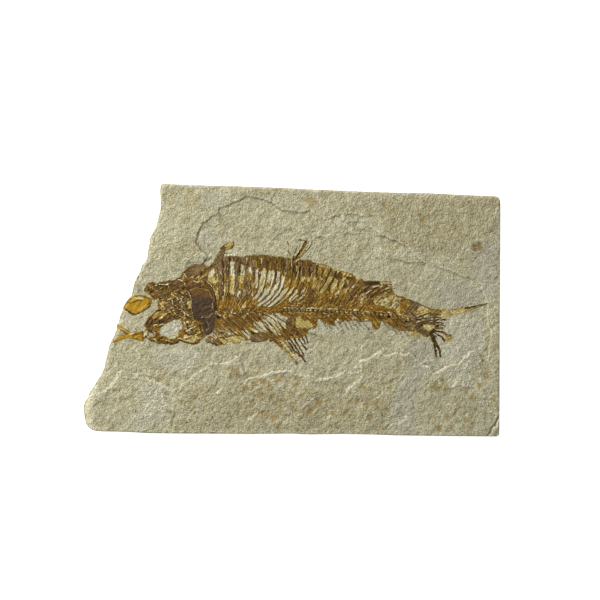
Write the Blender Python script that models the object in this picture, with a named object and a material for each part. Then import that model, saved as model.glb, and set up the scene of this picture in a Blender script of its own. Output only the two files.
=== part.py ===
"""A small fossil fish, lying belly up in a sawn slab of pale lake limestone.

The slab lies on its back: +Z points out of the fossil's face, +X to the tail and +Y to the belly.
The origin is on the slab's back, under its middle. Lengths are metres.
"""
import random

import bmesh
import bpy
from mathutils import Vector

MM = 0.001

# Driving dimensions
SLAB_LENGTH = 140 * MM
SLAB_THICKNESS = 9 * MM
CLEARANCE = 0.3 * MM
PREPARED_DEPTH = 0.35 * MM
FILM_BELOW = 0.3 * MM
FILM_ABOVE = 0.2 * MM
CRACK_DEPTH = 0.4 * MM
WELD = 0.001 * MM
BONE_ROUGHNESS = 0.5
STONE_ROUGHNESS = 0.9

# The cleaned stone round the fish, the bone film set in it, and the floor of the film's bed
CLEANED = SLAB_THICKNESS - PREPARED_DEPTH
FILM_TOP = CLEANED + FILM_ABOVE
FILM_BOTTOM = CLEANED - FILM_BELOW
BED_FLOOR = FILM_BOTTOM - CLEARANCE
ABOVE_ALL = SLAB_THICKNESS + 2 * MM

# Outlines are read off the photograph: x to the right and y down, in its pixels.
# These four are the slab's sides there, which set what one pixel measures on the stone.
PHOTO_LEFT = 82.5
PHOTO_RIGHT = 500.5
PHOTO_TOP = 183.5
PHOTO_BOTTOM = 436.8
PIXEL = SLAB_LENGTH / (PHOTO_RIGHT - PHOTO_LEFT)


def spot(px, py, z=0.0):
    """The place on the slab of a point of the photograph."""
    middle_x = (PHOTO_LEFT + PHOTO_RIGHT) / 2
    middle_y = (PHOTO_TOP + PHOTO_BOTTOM) / 2
    return Vector(((px - middle_x) * PIXEL, (middle_y - py) * PIXEL, z))


# The slab's outline: sawn sides, then the broken side from the lower corner up
SAWN_SIDES = [(161.5, 183.5), (497, 196), (500.5, 199.5), (499.5, 430), (498, 436.8), (487, 436.8), (110, 431.4)]
BROKEN_SIDE = [
    (96, 431.2), (88, 428), (84, 421), (82.5, 409), (84, 402), (89, 392), (97, 380), (104, 368),
    (107.5, 352), (114, 335), (120, 315), (124, 306), (130, 299), (134, 283), (140, 271),
    (147, 258), (150, 237.5), (155.5, 228), (160, 210), (159.8, 190),
]
# How far the broken side steps back at each bed of the stone, from the back to the face
BED_HEIGHTS = [3.1 * MM, 6.4 * MM]
BED_STEP_BACK = [1.3 * MM, 0.6 * MM, 0.0, 0.0]
LEAST_STEP_BACK = 0.4
# The chipped slope at the lower left corner, above the last bed
CHIP_TOP = 384
CHIP_WIDTH = 2.6 * MM

# The edge of the cleaned hollow round the fish, which runs out over the broken side
PREPARED_EDGE = [
    (60, 278), (137, 277), (150, 275), (165, 271.5), (183, 269), (191, 260), (201, 252),
    (197.5, 245), (195.5, 240), (197, 234), (200, 226), (207, 220.5), (217, 213), (221, 207.5),
    (234, 202), (245, 197), (256, 198), (270, 201.5), (286, 211), (310, 211), (323, 218.5),
    (341, 214.5), (352, 221.5), (369, 222), (380, 235), (407, 245), (425, 263), (447, 270),
    (465, 277), (480, 284), (486, 300), (490, 332), (488, 352), (481, 364), (466, 353),
    (448, 366), (434, 372), (420, 362), (409, 352.5), (386, 355), (380, 350.5), (365, 359),
    (360, 372), (348, 368), (337, 375.5), (313, 379.5), (290, 371), (254, 377), (245, 381),
    (240, 366), (234, 359), (215, 363), (204, 369), (190, 378.5), (175, 389), (162, 383.5),
    (137, 375), (121, 370.5), (113, 382), (95, 394), (60, 394),
]
# A half-height ledge below the fish, and the crack behind the lower right corner
HALF_LEDGE = [
    (239, 389), (247, 380.5), (254, 378.5), (278, 372.5), (290, 372.5), (303, 377), (313, 381),
    (333, 379), (344, 372), (358, 377), (353, 383), (341, 395), (326, 391), (305, 386), (275, 382),
    (260, 385), (250, 391),
]
CORNER_CRACK = [(485, 440), (491, 430), (495, 425), (498.5, 419), (503, 414)]

SKULL = [
    (145, 291), (145.5, 287), (150, 282), (157, 283.5), (164, 282), (173, 280.5), (181, 276),
    (185, 270), (193, 264.5), (204, 264), (206.2, 268.8), (207.3, 273), (206, 277.5), (204, 282),
    (203, 286.4), (195, 286.4), (190, 287.6), (188.3, 290), (189.8, 296.7), (191, 303.1),
    (191.1, 311.9), (194, 319.8), (202.6, 323.1), (202, 325.8), (203.1, 332.5), (204.4, 335.2),
    (203.3, 340), (199, 343.6), (190, 344.3), (180, 341), (172, 344.7), (160, 343.3),
    (150, 340.5), (144.4, 338.2), (144.2, 332.5), (147, 328.5), (145.3, 324), (150, 316.5), (158, 309),
    (157, 301), (153.2, 298.4), (152, 295.6),
]
SKULL_WINDOW = [(161, 327), (172, 321.5), (179, 320.5), (181, 327), (177, 336), (163, 335.5)]
GILL_COVER = [
    (189.8, 290.2), (195, 287.7), (201, 287.6), (207, 289.2), (210.3, 292), (212.6, 297),
    (213, 303), (211.9, 309.8), (214.5, 312), (214.4, 318.8), (213.3, 327.3), (209.7, 332),
    (206.5, 334.2), (204.5, 331.5), (203.3, 325.9), (204.3, 322.3), (195, 318.7), (192.3, 311.7),
    (192.2, 303), (191.1, 296.5),
]
UPPER_JAW_PLATE = [
    (132, 296.8), (134, 295.5), (144, 295.3), (150.8, 299.5), (150.5, 304), (146.5, 309.4),
    (138.3, 313.6), (133, 315), (129, 313.5), (125, 310.4), (124.6, 307.5), (127.8, 302.5),
]
LOWER_JAW_FORK = [
    (119, 325.3), (126.7, 330.3), (131, 333), (136, 332), (142.8, 332.3), (142.9, 340.6),
    (139, 340), (134, 338.3), (128, 338), (122, 338.5), (114.2, 342), (118, 337.7),
    (123, 335.2), (127, 334.4), (123, 331.5), (118.6, 328),
]
BODY = [
    (222.4, 258.2), (235, 256), (252, 255.2), (270.6, 256), (283.5, 257.6), (290.6, 258.8),
    (292, 262), (297, 261.6), (309.4, 260.2), (318, 264), (331.8, 267.3), (348, 272.6),
    (360, 280.8), (361, 286), (363.3, 291.8), (368.5, 299), (373.8, 299.2), (380.5, 295.6),
    (391.2, 292.4), (397.6, 295.5), (406, 298.6), (416.2, 302.8), (415, 310), (413, 318),
    (413.5, 325), (414.5, 331), (400, 330), (389, 324.5), (385, 321.5), (381, 321.5),
    (378, 329), (372, 325.5), (370, 321.5), (355, 320.5), (343, 321), (340, 324), (336, 320),
    (334, 326), (327, 322), (318, 319.5), (316, 327.5), (311, 328), (307, 332), (302, 335.5),
    (285, 337), (271, 338.5), (258, 342), (243, 340), (236, 343.5), (219, 345.2), (211, 342.5),
    (204.9, 341.6), (205.6, 338), (208, 335.5), (211, 333), (214.7, 327.9), (215.8, 318.9),
    (215.9, 311.3), (213.5, 309.2), (214.4, 303), (214, 296.6), (211.6, 291.2), (208.2, 287.8),
    (204.8, 285.4), (205.8, 281.5), (207.7, 278), (209, 274), (209.5, 271.4), (211.5, 270.8),
    (215, 267.5), (219.5, 263),
]
PECTORAL_FIN = [
    (207.4, 268.6), (211.6, 261.5), (215.8, 254), (222, 247), (229, 242.5), (232, 242.5),
    (233.5, 244.5), (229, 250), (224.7, 251.5), (221.8, 254.6), (220.9, 257.4), (218, 262),
    (214, 266.3), (210.5, 269.2),
]
PELVIC_FIN = [
    (291.8, 257.4), (294, 251), (296.5, 245.3), (298.3, 245.8), (297.8, 250), (302, 244),
    (304, 241), (299.4, 240.8), (299.4, 239.2), (312.5, 240), (312.5, 242.5), (308, 250.8),
    (299.5, 258.8), (297.3, 260.3), (293.6, 260.5),
]
ANAL_FIN = [
    (361.6, 279.6), (364, 279.9), (377.6, 280.5), (391, 281.9), (391.6, 287.5), (391, 291),
    (384, 293.3), (380, 294.2), (373.5, 297.8), (369.2, 297.6), (364.5, 291), (362.2, 285),
]
DORSAL_FIN = [
    (271.4, 339.7), (285, 338.3), (302.3, 336.7), (306.5, 333.9), (308.5, 340), (307, 349.5),
    (303.6, 351), (305.2, 354.5), (306.5, 361.5), (304.8, 363), (300.5, 358.8), (296.5, 358),
    (297, 361.5), (295.3, 362.3), (290, 357.3), (281.3, 347.8),
]
TAIL_FIN = [
    (417.6, 303.8), (428, 306.8), (437.5, 309.2), (454, 308.4), (467.5, 307), (486.6, 303.2),
    (486.8, 304.2), (480.8, 306.4), (473.2, 311.3), (456.3, 315.2), (445.5, 318.5),
    (446, 320.5), (443.5, 321.5), (446, 326.2), (443.5, 328), (444.5, 331), (451.8, 335),
    (450.5, 342), (445.5, 341), (437, 337.5), (438.5, 344.5), (441.4, 350), (442, 356.5),
    (439.8, 357), (436.6, 350.5), (436.8, 356.5), (435, 357), (433.2, 349), (432, 341),
    (429, 338), (418.8, 337.8), (410, 335), (409.8, 332.4), (416, 332.2), (414.9, 325),
    (414.5, 318), (416.4, 310),
]

# Raised bone on the film: how wide each kind of ridge is, how flat it was pressed, and its runs
RIB_HALF_WIDTH = 0.33 * MM
STRAP_HALF_WIDTH = 0.75 * MM
SPINE_HALF_WIDTH = 0.26 * MM
RAY_HALF_WIDTH = 0.28 * MM
JAW_HALF_WIDTH = 0.8 * MM
RIB_FLATNESS = 0.85
STRAP_FLATNESS = 0.42
BACKBONE_HALF_WIDTH = 0.95 * MM
BACKBONE_WAIST = 0.66
RIDGE_TAPER = 0.45
VERTEBRA_LENGTH = 1.5 * MM
BACKBONE = [
    (255, 310.5), (285, 311), (320, 311.5), (340, 312), (360, 313.5), (380, 314.5), (400, 317),
    (412, 320),
]

SHOULDER_STRAPS = [
    [(214, 270), (218, 280), (220.5, 295), (221, 307)],
    [(224, 262), (224.5, 275), (227, 292), (228, 306)],
    [(235.5, 261), (236, 277), (236, 294), (234, 304)],
    [(245.5, 260), (246, 275), (244, 289), (239, 300)],
    [(253, 261), (252.5, 277), (250, 292), (245, 302)],
]
RIBS = [
    [(258.8, 262), (258.8, 279), (256, 292), (251, 299)],
    [(267, 262), (266.5, 276.7), (263, 290), (256.5, 301)],
    [(274.7, 262), (274, 282), (267.6, 295), (256, 305)],
    [(280.5, 263), (280, 280), (275.3, 292), (261, 306.5)],
    [(288, 264), (285, 286), (276.5, 297.3), (266.5, 306)],
    [(294, 264), (291, 284), (283.5, 297.3), (271.8, 306.7)],
    [(302, 264), (299.4, 281.4), (291.2, 296.7), (280.6, 303.2)],
    [(307.5, 264), (305, 284), (298, 297), (289, 305)],
    [(313, 266), (310, 286), (303, 299), (296, 306)],
    [(319, 268), (315, 287), (308, 300), (302, 306.5)],
    [(330.5, 269), (321, 288), (312, 303)],
    [(338, 272.5), (329, 289), (319, 304)],
    [(345, 276), (337.5, 291), (327, 305)],
    [(352, 279), (345, 293), (335, 306)],
    [(358, 283), (352, 297), (344, 307)],
    [(364, 296), (354, 307)],
]
SPINES = [
    [(246, 317), (256, 325), (266, 333)],
    [(243, 321), (252, 330), (259.4, 337)],
    [(255, 317), (266, 325), (272, 333)],
    [(262, 315.5), (274, 324), (280, 332)],
    [(269.4, 315), (281, 325), (286.5, 333)],
    [(277, 315), (289, 325), (294, 332)],
    [(286, 315.5), (297, 325), (302, 331)],
    [(234, 325), (243, 333), (249, 337)],
    [(296, 316), (308, 326)],
    [(308, 316), (314, 324)],
    [(320, 316), (330, 322)],
    [(384, 318), (397, 326)],
    [(396, 320), (410, 327)],
]
SCUTES = [
    [(224, 257.9), (230, 257)], [(232.5, 256.9), (238, 256.3)], [(241.5, 256.8), (247, 256.2)],
    [(249, 256), (255, 255.7)], [(257, 255.9), (263, 255.9)], [(265, 256.2), (271, 256.6)],
    [(273, 256.9), (278, 257.4)], [(280, 257.8), (286, 258.6)], [(299, 261.7), (308, 260.7)],
]
JAW_BARS = [
    [(147.5, 325.5), (151, 319), (159, 313), (164, 309)],
    [(151.5, 327), (161, 322), (170, 317.5), (178, 317)],
    [(147.5, 337), (158, 341), (172, 342.5), (183, 340)],
    [(186, 341.5), (194, 342.2), (200, 340)],
]
PECTORAL_RAYS = [
    [(209.5, 267), (214, 259.5), (219, 252.5), (226, 246), (231, 244)],
    [(213, 266), (218.5, 258.5), (221.5, 252.5), (227, 249), (231.5, 246)],
]
PELVIC_RAYS = [
    [(293, 259), (295, 252), (297.3, 246.4)],
    [(294, 259.6), (298, 253), (303, 245.5), (306.3, 241)],
    [(295.4, 259.8), (301, 253.5), (307.5, 246), (310.3, 241.3)],
]
ANAL_RAYS = [
    [(364, 289), (369, 285), (375, 281.8)],
    [(366, 293), (374, 287), (383, 283)],
    [(368.5, 296), (378, 289), (389, 284)],
    [(374, 296), (381, 291.5), (389.5, 288)],
]
DORSAL_RAYS = [
    [(273.5, 340.6), (281.2, 346.3), (288, 353.6), (295.3, 361)],
    [(281.5, 340), (288.5, 347.5), (294, 353.5), (299.5, 357.3)],
    [(286.5, 339.5), (294.7, 349.6), (305, 361.5)],
    [(293.5, 338.8), (298, 347), (303, 352.5)],
    [(298.6, 338.3), (303, 345), (306, 349)],
    [(304, 337), (306.5, 342), (307.3, 346)],
]
TAIL_RAYS = [
    [(418.5, 307), (437, 310.7), (456, 310.5), (473, 308.2), (485.5, 304.2)],
    [(417, 314), (432, 312.5), (446, 314.8), (462, 311.8)],
    [(416, 318), (431, 316), (440, 317)],
    [(416, 321), (431, 320), (445, 319.8)],
    [(416, 324), (430, 323), (444, 324.7)],
    [(416.5, 326), (430, 327), (442.5, 328.8)],
    [(417, 328.5), (429, 331), (443, 333), (450.8, 335.8)],
    [(417, 331), (428, 333), (438, 335), (445, 340)],
    [(419, 333.5), (430, 336), (436, 343), (441, 355.5)],
    [(430.5, 337), (433.6, 343), (435.8, 355.5)],
]
# Raised plates of the skull, each an outline on its film
SKULL_PLATES = [
    [(184.5, 271.5), (193, 266), (203, 265.5), (204.5, 269), (199, 275), (190, 277), (184, 275.5)],
    [(158, 285.5), (172, 282), (181, 279), (188, 281), (187, 289), (180, 293.5), (166, 295), (157, 293)],
    [(189.5, 281.5), (202.5, 279.5), (202, 284.5), (195, 285), (190, 286.2)],
    [(171, 299), (178, 297), (187, 300), (188.5, 309), (183, 314), (174, 309), (169, 307)],
]
PLATE_RISE = 0.22 * MM
GILL_STEP = 0.45 * MM
GILL_STEP_RISE = 0.14 * MM
GILL_STEPS = 2


def clear_scene():
    for old in list(bpy.data.objects):
        bpy.data.objects.remove(old, do_unlink=True)


def new_collection(name):
    collection = bpy.data.collections.new(name)
    bpy.context.scene.collection.children.link(collection)
    return collection


def bone_or_stone(name, colour, roughness):
    """A Principled material for one piece."""
    material = bpy.data.materials.new(name)
    material.use_nodes = True
    shader = material.node_tree.nodes["Principled BSDF"]
    shader.inputs["Base Color"].default_value = (*colour, 1)
    shader.inputs["Roughness"].default_value = roughness
    shader.inputs["Metallic"].default_value = 0
    return material


def as_mesh(curve, name, collection, flatness=1.0):
    """Turns a curve into a closed mesh object, with its caps welded on."""
    draft = bpy.data.objects.new(name + " curve", curve)
    collection.objects.link(draft)
    bpy.context.view_layer.update()
    depsgraph = bpy.context.evaluated_depsgraph_get()
    mesh = bpy.data.meshes.new_from_object(draft.evaluated_get(depsgraph))
    bpy.data.objects.remove(draft)
    mesh.name = name
    shape = bmesh.new()
    shape.from_mesh(mesh)
    bmesh.ops.remove_doubles(shape, verts=shape.verts, dist=WELD)
    bmesh.ops.recalc_face_normals(shape, faces=shape.faces)
    bmesh.ops.scale(shape, vec=(1, 1, flatness), verts=shape.verts)
    shape.to_mesh(mesh)
    shape.free()
    piece = bpy.data.objects.new(name, mesh)
    collection.objects.link(piece)
    return piece


def move_up(piece, height):
    bpy.context.view_layer.update()
    piece.data.transform(piece.matrix_world.Translation((0, 0, height)))


def flat_piece(name, outlines, bottom, top, collection, grow=0.0):
    """A plate with upright sides. A second outline inside the first one is a hole."""
    curve = bpy.data.curves.new(name, "CURVE")
    curve.dimensions = "2D"
    curve.fill_mode = "BOTH"
    curve.extrude = (top - bottom) / 2
    curve.offset = grow
    for outline in outlines:
        spline = curve.splines.new("POLY")
        spline.points.add(len(outline) - 1)
        for point, place in zip(spline.points, outline):
            point.co = (*spot(*place), 1)
        spline.use_cyclic_u = True
    piece = as_mesh(curve, name, collection)
    move_up(piece, (bottom + top) / 2)
    return piece


def ridges(name, runs, half_width, flatness, collection, rounding=0, radii=None, height=FILM_TOP):
    """Flattened bars along runs of points. Without radii, each one ends narrower than it starts."""
    curve = bpy.data.curves.new(name, "CURVE")
    curve.dimensions = "3D"
    curve.bevel_depth = half_width
    curve.bevel_resolution = rounding
    curve.use_fill_caps = True
    for run in runs:
        spline = curve.splines.new("POLY")
        spline.points.add(len(run) - 1)
        for number, (point, place) in enumerate(zip(spline.points, run)):
            point.co = (*place, 1)
            point.radius = radii[number] if radii else 1 - RIDGE_TAPER * number / (len(run) - 1)
    piece = as_mesh(curve, name, collection, flatness)
    move_up(piece, height)
    return piece


def on_stone(runs):
    return [[spot(*place) for place in run] for run in runs]


def backbone_run():
    """Points along the backbone, two to a vertebra, and how thick it is at each."""
    line = [spot(*place) for place in BACKBONE]
    length = sum((after - before).length for before, after in zip(line, line[1:]))
    count = int(length / VERTEBRA_LENGTH)
    points = []
    for step in range(2 * count + 1):
        left = length * step / (2 * count)
        for before, after in zip(line, line[1:]):
            stretch = (after - before).length
            if left <= stretch + WELD:
                points.append(before.lerp(after, min(1, left / stretch)))
                break
            left -= stretch
    thickness = [BACKBONE_WAIST if step % 2 == 0 else 1.0 for step in range(len(points))]
    return points, thickness


def combine(piece, other, operation):
    """Joins another piece to this one or cuts it away, and hides that other piece."""
    other.hide_render = True
    other.display_type = "WIRE"
    change = piece.modifiers.new(f"{operation.lower()} {other.name}", "BOOLEAN")
    change.operation = operation
    change.solver = "EXACT"
    change.use_self = True
    change.object = other


def make_slab(parts, cutters, beds):
    """The stone: a sawn block with a broken side, the cleaned hollow and the bones' bed."""
    slab = flat_piece("slab", [SAWN_SIDES + BROKEN_SIDE], 0, SLAB_THICKNESS, parts)
    shape = bmesh.new()
    shape.from_mesh(slab.data)
    for height in BED_HEIGHTS:
        everything = shape.verts[:] + shape.edges[:] + shape.faces[:]
        bmesh.ops.bisect_plane(shape, geom=everything, plane_co=(0, 0, height), plane_no=(0, 0, 1))
    levels = [0.0, *BED_HEIGHTS, SLAB_THICKNESS]
    chance = random.Random(7)
    for px, py in BROKEN_SIDE:
        edge = spot(px, py)
        for height, step_back in zip(levels, BED_STEP_BACK):
            chipped = py > CHIP_TOP and height == SLAB_THICKNESS
            depth = CHIP_WIDTH if chipped else step_back * chance.uniform(LEAST_STEP_BACK, 1)
            corner = Vector((edge.x, edge.y, height))
            for vert in shape.verts:
                if (vert.co - corner).length < 10 * WELD:
                    vert.co.x += depth
    shape.to_mesh(slab.data)
    shape.free()
    hollow = flat_piece("cleaned hollow", [PREPARED_EDGE], CLEANED, ABOVE_ALL, cutters)
    combine(slab, hollow, "DIFFERENCE")
    half_way = (CLEANED + SLAB_THICKNESS) / 2
    ledge = flat_piece("half-height ledge", [HALF_LEDGE], half_way, ABOVE_ALL, cutters)
    combine(slab, ledge, "DIFFERENCE")
    even = [1] * len(CORNER_CRACK)
    crack = ridges(
        "corner crack", on_stone([CORNER_CRACK]), CRACK_DEPTH, 1, cutters, radii=even, height=SLAB_THICKNESS
    )
    combine(slab, crack, "DIFFERENCE")
    for bed in beds:
        combine(slab, bed, "DIFFERENCE")
    return slab


def make_bone(name, outlines, parts, cutters, beds):
    """One bone film, and the bed that it needs in the stone."""
    bone = flat_piece(name, outlines, FILM_BOTTOM, FILM_TOP, parts)
    beds.append(flat_piece(name + " bed", outlines, BED_FLOOR, ABOVE_ALL, cutters, grow=CLEARANCE))
    return bone


def make_body(parts, cutters, beds):
    body = make_bone("body", [BODY], parts, cutters, beds)
    points, thickness = backbone_run()
    reliefs = [
        ridges("backbone", [points], BACKBONE_HALF_WIDTH, STRAP_FLATNESS, cutters, 1, thickness),
        ridges("ribs", on_stone(RIBS), RIB_HALF_WIDTH, RIB_FLATNESS, cutters),
        ridges("spines", on_stone(SPINES), SPINE_HALF_WIDTH, RIB_FLATNESS, cutters),
        ridges("straps", on_stone(SHOULDER_STRAPS), STRAP_HALF_WIDTH, STRAP_FLATNESS, cutters),
        ridges("scutes", on_stone(SCUTES), SPINE_HALF_WIDTH, RIB_FLATNESS, cutters),
    ]
    for relief in reliefs:
        combine(body, relief, "UNION")
    return body


def make_skull(parts, cutters, beds):
    skull = make_bone("skull", [SKULL, SKULL_WINDOW], parts, cutters, beds)
    for number, outline in enumerate(SKULL_PLATES):
        plate = flat_piece(f"skull plate {number}", [outline], CLEANED, FILM_TOP + PLATE_RISE, cutters)
        combine(skull, plate, "UNION")
    jaws = ridges("jaw bars", on_stone(JAW_BARS), JAW_HALF_WIDTH, STRAP_FLATNESS, cutters)
    combine(skull, jaws, "UNION")
    return skull


def swell(piece, step, rise, steps):
    """Raises a plate's face towards its middle, in low rounded steps like growth rings."""
    shape = bmesh.new()
    shape.from_mesh(piece.data)
    for _ in range(steps):
        top = max(vert.co.z for vert in shape.verts)
        face = [f for f in shape.faces if min(vert.co.z for vert in f.verts) > top - WELD]
        bmesh.ops.inset_region(shape, faces=face, thickness=step, depth=rise, use_even_offset=True)
    shape.to_mesh(piece.data)
    shape.free()


def make_rayed_fin(name, outline, rays, parts, cutters, beds):
    fin = make_bone(name, [outline], parts, cutters, beds)
    rays = ridges(name + " rays", on_stone(rays), RAY_HALF_WIDTH, RIB_FLATNESS, cutters)
    combine(fin, rays, "UNION")
    return fin


def main():
    clear_scene()
    parts = new_collection("fossil fish")
    cutters = new_collection("cutters and reliefs")
    beds = []

    brown_bone = (0.17, 0.1, 0.03)
    amber_bone = (0.39, 0.22, 0.03)
    dark_bone = (0.08, 0.05, 0.03)
    stone = (0.4, 0.37, 0.24)

    bones = [
        (make_skull(parts, cutters, beds), brown_bone),
        (make_bone("gill_cover", [GILL_COVER], parts, cutters, beds), dark_bone),
        (make_bone("upper_jaw_plate", [UPPER_JAW_PLATE], parts, cutters, beds), amber_bone),
        (make_bone("lower_jaw_fork", [LOWER_JAW_FORK], parts, cutters, beds), amber_bone),
        (make_body(parts, cutters, beds), brown_bone),
        (make_rayed_fin("pectoral_fin", PECTORAL_FIN, PECTORAL_RAYS, parts, cutters, beds), brown_bone),
        (make_rayed_fin("pelvic_fin", PELVIC_FIN, PELVIC_RAYS, parts, cutters, beds), brown_bone),
        (make_rayed_fin("anal_fin", ANAL_FIN, ANAL_RAYS, parts, cutters, beds), brown_bone),
        (make_rayed_fin("dorsal_fin", DORSAL_FIN, DORSAL_RAYS, parts, cutters, beds), dark_bone),
        (make_rayed_fin("tail_fin", TAIL_FIN, TAIL_RAYS, parts, cutters, beds), brown_bone),
    ]
    swell(parts.objects["gill_cover"], GILL_STEP, GILL_STEP_RISE, GILL_STEPS)
    swell(parts.objects["upper_jaw_plate"], GILL_STEP, GILL_STEP_RISE, 1)
    for bone, colour in bones:
        bone.data.materials.clear()
        bone.data.materials.append(bone_or_stone(bone.name + " bone", colour, BONE_ROUGHNESS))
    slab = make_slab(parts, cutters, beds)
    slab.data.materials.clear()
    slab.data.materials.append(bone_or_stone("pale limestone", stone, STONE_ROUGHNESS))


main()
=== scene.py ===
# %% [markdown]
# # A fossil fish in a slab of limestone
# A herring-like fish sank to the bed of a lake, lay there on its back and was pressed flat as the lime mud
# above it turned to stone. What is left is a film of brown bone in a pale slab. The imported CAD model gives
# every piece its place and size. This script gives each piece its real surface.
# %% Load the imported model
import math

import bmesh
import bpy
import numpy as np
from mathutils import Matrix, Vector


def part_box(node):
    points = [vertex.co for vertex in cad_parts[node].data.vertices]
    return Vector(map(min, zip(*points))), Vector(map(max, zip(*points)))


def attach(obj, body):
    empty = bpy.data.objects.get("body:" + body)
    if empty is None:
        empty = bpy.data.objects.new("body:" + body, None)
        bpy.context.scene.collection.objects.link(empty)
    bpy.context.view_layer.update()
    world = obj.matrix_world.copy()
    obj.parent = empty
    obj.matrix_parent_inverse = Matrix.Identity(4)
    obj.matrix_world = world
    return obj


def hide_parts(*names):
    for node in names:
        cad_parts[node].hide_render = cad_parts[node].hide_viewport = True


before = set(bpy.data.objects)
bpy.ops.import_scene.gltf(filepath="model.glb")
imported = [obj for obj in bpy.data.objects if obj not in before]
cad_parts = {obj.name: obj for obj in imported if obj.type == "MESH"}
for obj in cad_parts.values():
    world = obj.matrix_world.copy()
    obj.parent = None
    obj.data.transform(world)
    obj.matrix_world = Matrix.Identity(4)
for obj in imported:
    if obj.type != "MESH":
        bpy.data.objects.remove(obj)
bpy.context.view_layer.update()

print("pieces in the frame:", sorted(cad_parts))

# %% [markdown]
# ## Reading places off the photograph
# Every outline below is drawn over the photograph, in its pixels: x to the right and y down. The slab is 418
# pixels long there, and the frame says how long it is, so one pixel is a known length on the stone. Heights
# are written in millimetres above the slab's back.
# %% Pixels and millimetres
MM = 0.001
PHOTO_LEFT = 82.5
PHOTO_RIGHT = 500.5
PHOTO_MIDDLE_X = (PHOTO_LEFT + PHOTO_RIGHT) / 2
PHOTO_MIDDLE_Y = 310.15
slab_low, slab_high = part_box("slab")
PIXEL = (slab_high.x - slab_low.x) / (PHOTO_RIGHT - PHOTO_LEFT)
print("one pixel is", round(PIXEL / MM, 4), "mm on the stone")


def on_slab(px, py):
    """The place on the slab, in metres, of points of the photograph."""
    return (px - PHOTO_MIDDLE_X) * PIXEL, (PHOTO_MIDDLE_Y - py) * PIXEL


def on_photo(x, y):
    """The pixels of the photograph at places on the slab."""
    return x / PIXEL + PHOTO_MIDDLE_X, PHOTO_MIDDLE_Y - y / PIXEL


# %% [markdown]
# ## Camera, floor and light
# The fossil was photographed from straight above with a short telephoto lens, on white. The relief on the
# stone is dark on its lower right sides, so the main light stands at the upper left, rather low, and a pale
# sky fills the shadows. The floor glows a little, like a light table, which keeps the slab's shadow faint.
# %% Camera
PHOTO_SIDE = 600
LENS = 85
SENSOR = 36
NEAREST = 0.01
face_height = slab_high.z
view_width = PHOTO_SIDE * PIXEL
aim_x, aim_y = on_slab(PHOTO_SIDE / 2, PHOTO_SIDE / 2)
camera_data = bpy.data.cameras.new("camera")
camera_data.lens = LENS
camera_data.sensor_width = SENSOR
camera_data.clip_start = NEAREST
camera = bpy.data.objects.new("camera", camera_data)
camera.location = (aim_x, aim_y, face_height + view_width * LENS / SENSOR)
bpy.context.scene.collection.objects.link(camera)
bpy.context.scene.camera = camera
bpy.context.scene.view_settings.view_transform = "Standard"
print("camera height above the face:", round(camera.location.z - face_height, 3), "m")

# %% Light
LIGHT_DISTANCE = 0.75
LIGHT_SIZE = 0.19
LIGHT_ELEVATION = math.radians(33)
LIGHT_BEARING = math.radians(140)
LIGHT_POWER = 8.7
LIGHT_COLOUR = (1.0, 0.985, 0.95)
SKY_COLOUR = (0.95, 0.98, 1.0, 1)
SKY_STRENGTH = 0.38
lamp_data = bpy.data.lights.new("softbox", "AREA")
lamp_data.shape = "DISK"
lamp_data.size = LIGHT_SIZE
lamp_data.energy = LIGHT_POWER
lamp_data.color = LIGHT_COLOUR
lamp = bpy.data.objects.new("softbox", lamp_data)
flat_reach = math.cos(LIGHT_ELEVATION)
towards_light = Vector((
    math.cos(LIGHT_BEARING) * flat_reach,
    math.sin(LIGHT_BEARING) * flat_reach,
    math.sin(LIGHT_ELEVATION),
))
lamp.location = towards_light * LIGHT_DISTANCE
lamp.rotation_euler = towards_light.to_track_quat("Z", "Y").to_euler()
bpy.context.scene.collection.objects.link(lamp)
sky = bpy.data.worlds.new("pale sky")
sky.use_nodes = True
sky.node_tree.nodes["Background"].inputs["Color"].default_value = SKY_COLOUR
sky.node_tree.nodes["Background"].inputs["Strength"].default_value = SKY_STRENGTH
bpy.context.scene.world = sky
print("light at", [round(value, 2) for value in lamp.location])


# %% [markdown]
# ## Colours and nodes
# Colours are read as sRGB hex values, the way a paint chart gives them, and Blender's nodes work in linear
# light, so one function turns them. Another adds a node with its settings and its links and hands back the
# output that is used, which keeps each material below to a list of what it is made of.
# %% Helpers for materials
def linear(text):
    """An sRGB hex value as the linear colour that the nodes use."""
    channels = [int(text[place:place + 2], 16) / 255 for place in (1, 3, 5)]
    return (*[c / 12.92 if c <= 0.04045 else ((c + 0.055) / 1.055) ** 2.4 for c in channels], 1.0)


def per(size):
    """A pattern's scale, for marks of this size in millimetres."""
    return 1 / (size * MM)


def start_material(name):
    """A new material, its nodes and its shader."""
    material = bpy.data.materials.new(name)
    material.use_nodes = True
    return material, material.node_tree, material.node_tree.nodes["Principled BSDF"]


def add(tree, kind, inputs=None, output=0, colours=(), **settings):
    """Adds one node and gives one of its outputs. An input is a value or an output of another node.

    Colours are for a ramp, and lie evenly along it.
    """
    made = tree.nodes.new("ShaderNode" + kind)
    for name, value in settings.items():
        setattr(made, name, value)
    for name, value in (inputs or {}).items():
        if isinstance(value, bpy.types.NodeSocket):
            tree.links.new(value, made.inputs[name])
        else:
            made.inputs[name].default_value = value
    if colours:
        stops = made.color_ramp.elements
        stops[0].color = linear(colours[0])
        stops[1].color = linear(colours[-1])
        for number, colour in enumerate(colours[1:-1], 1):
            stops.new(number / (len(colours) - 1)).color = linear(colour)
    return made.outputs[output]


print("white is", linear("#ffffff"))

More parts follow.
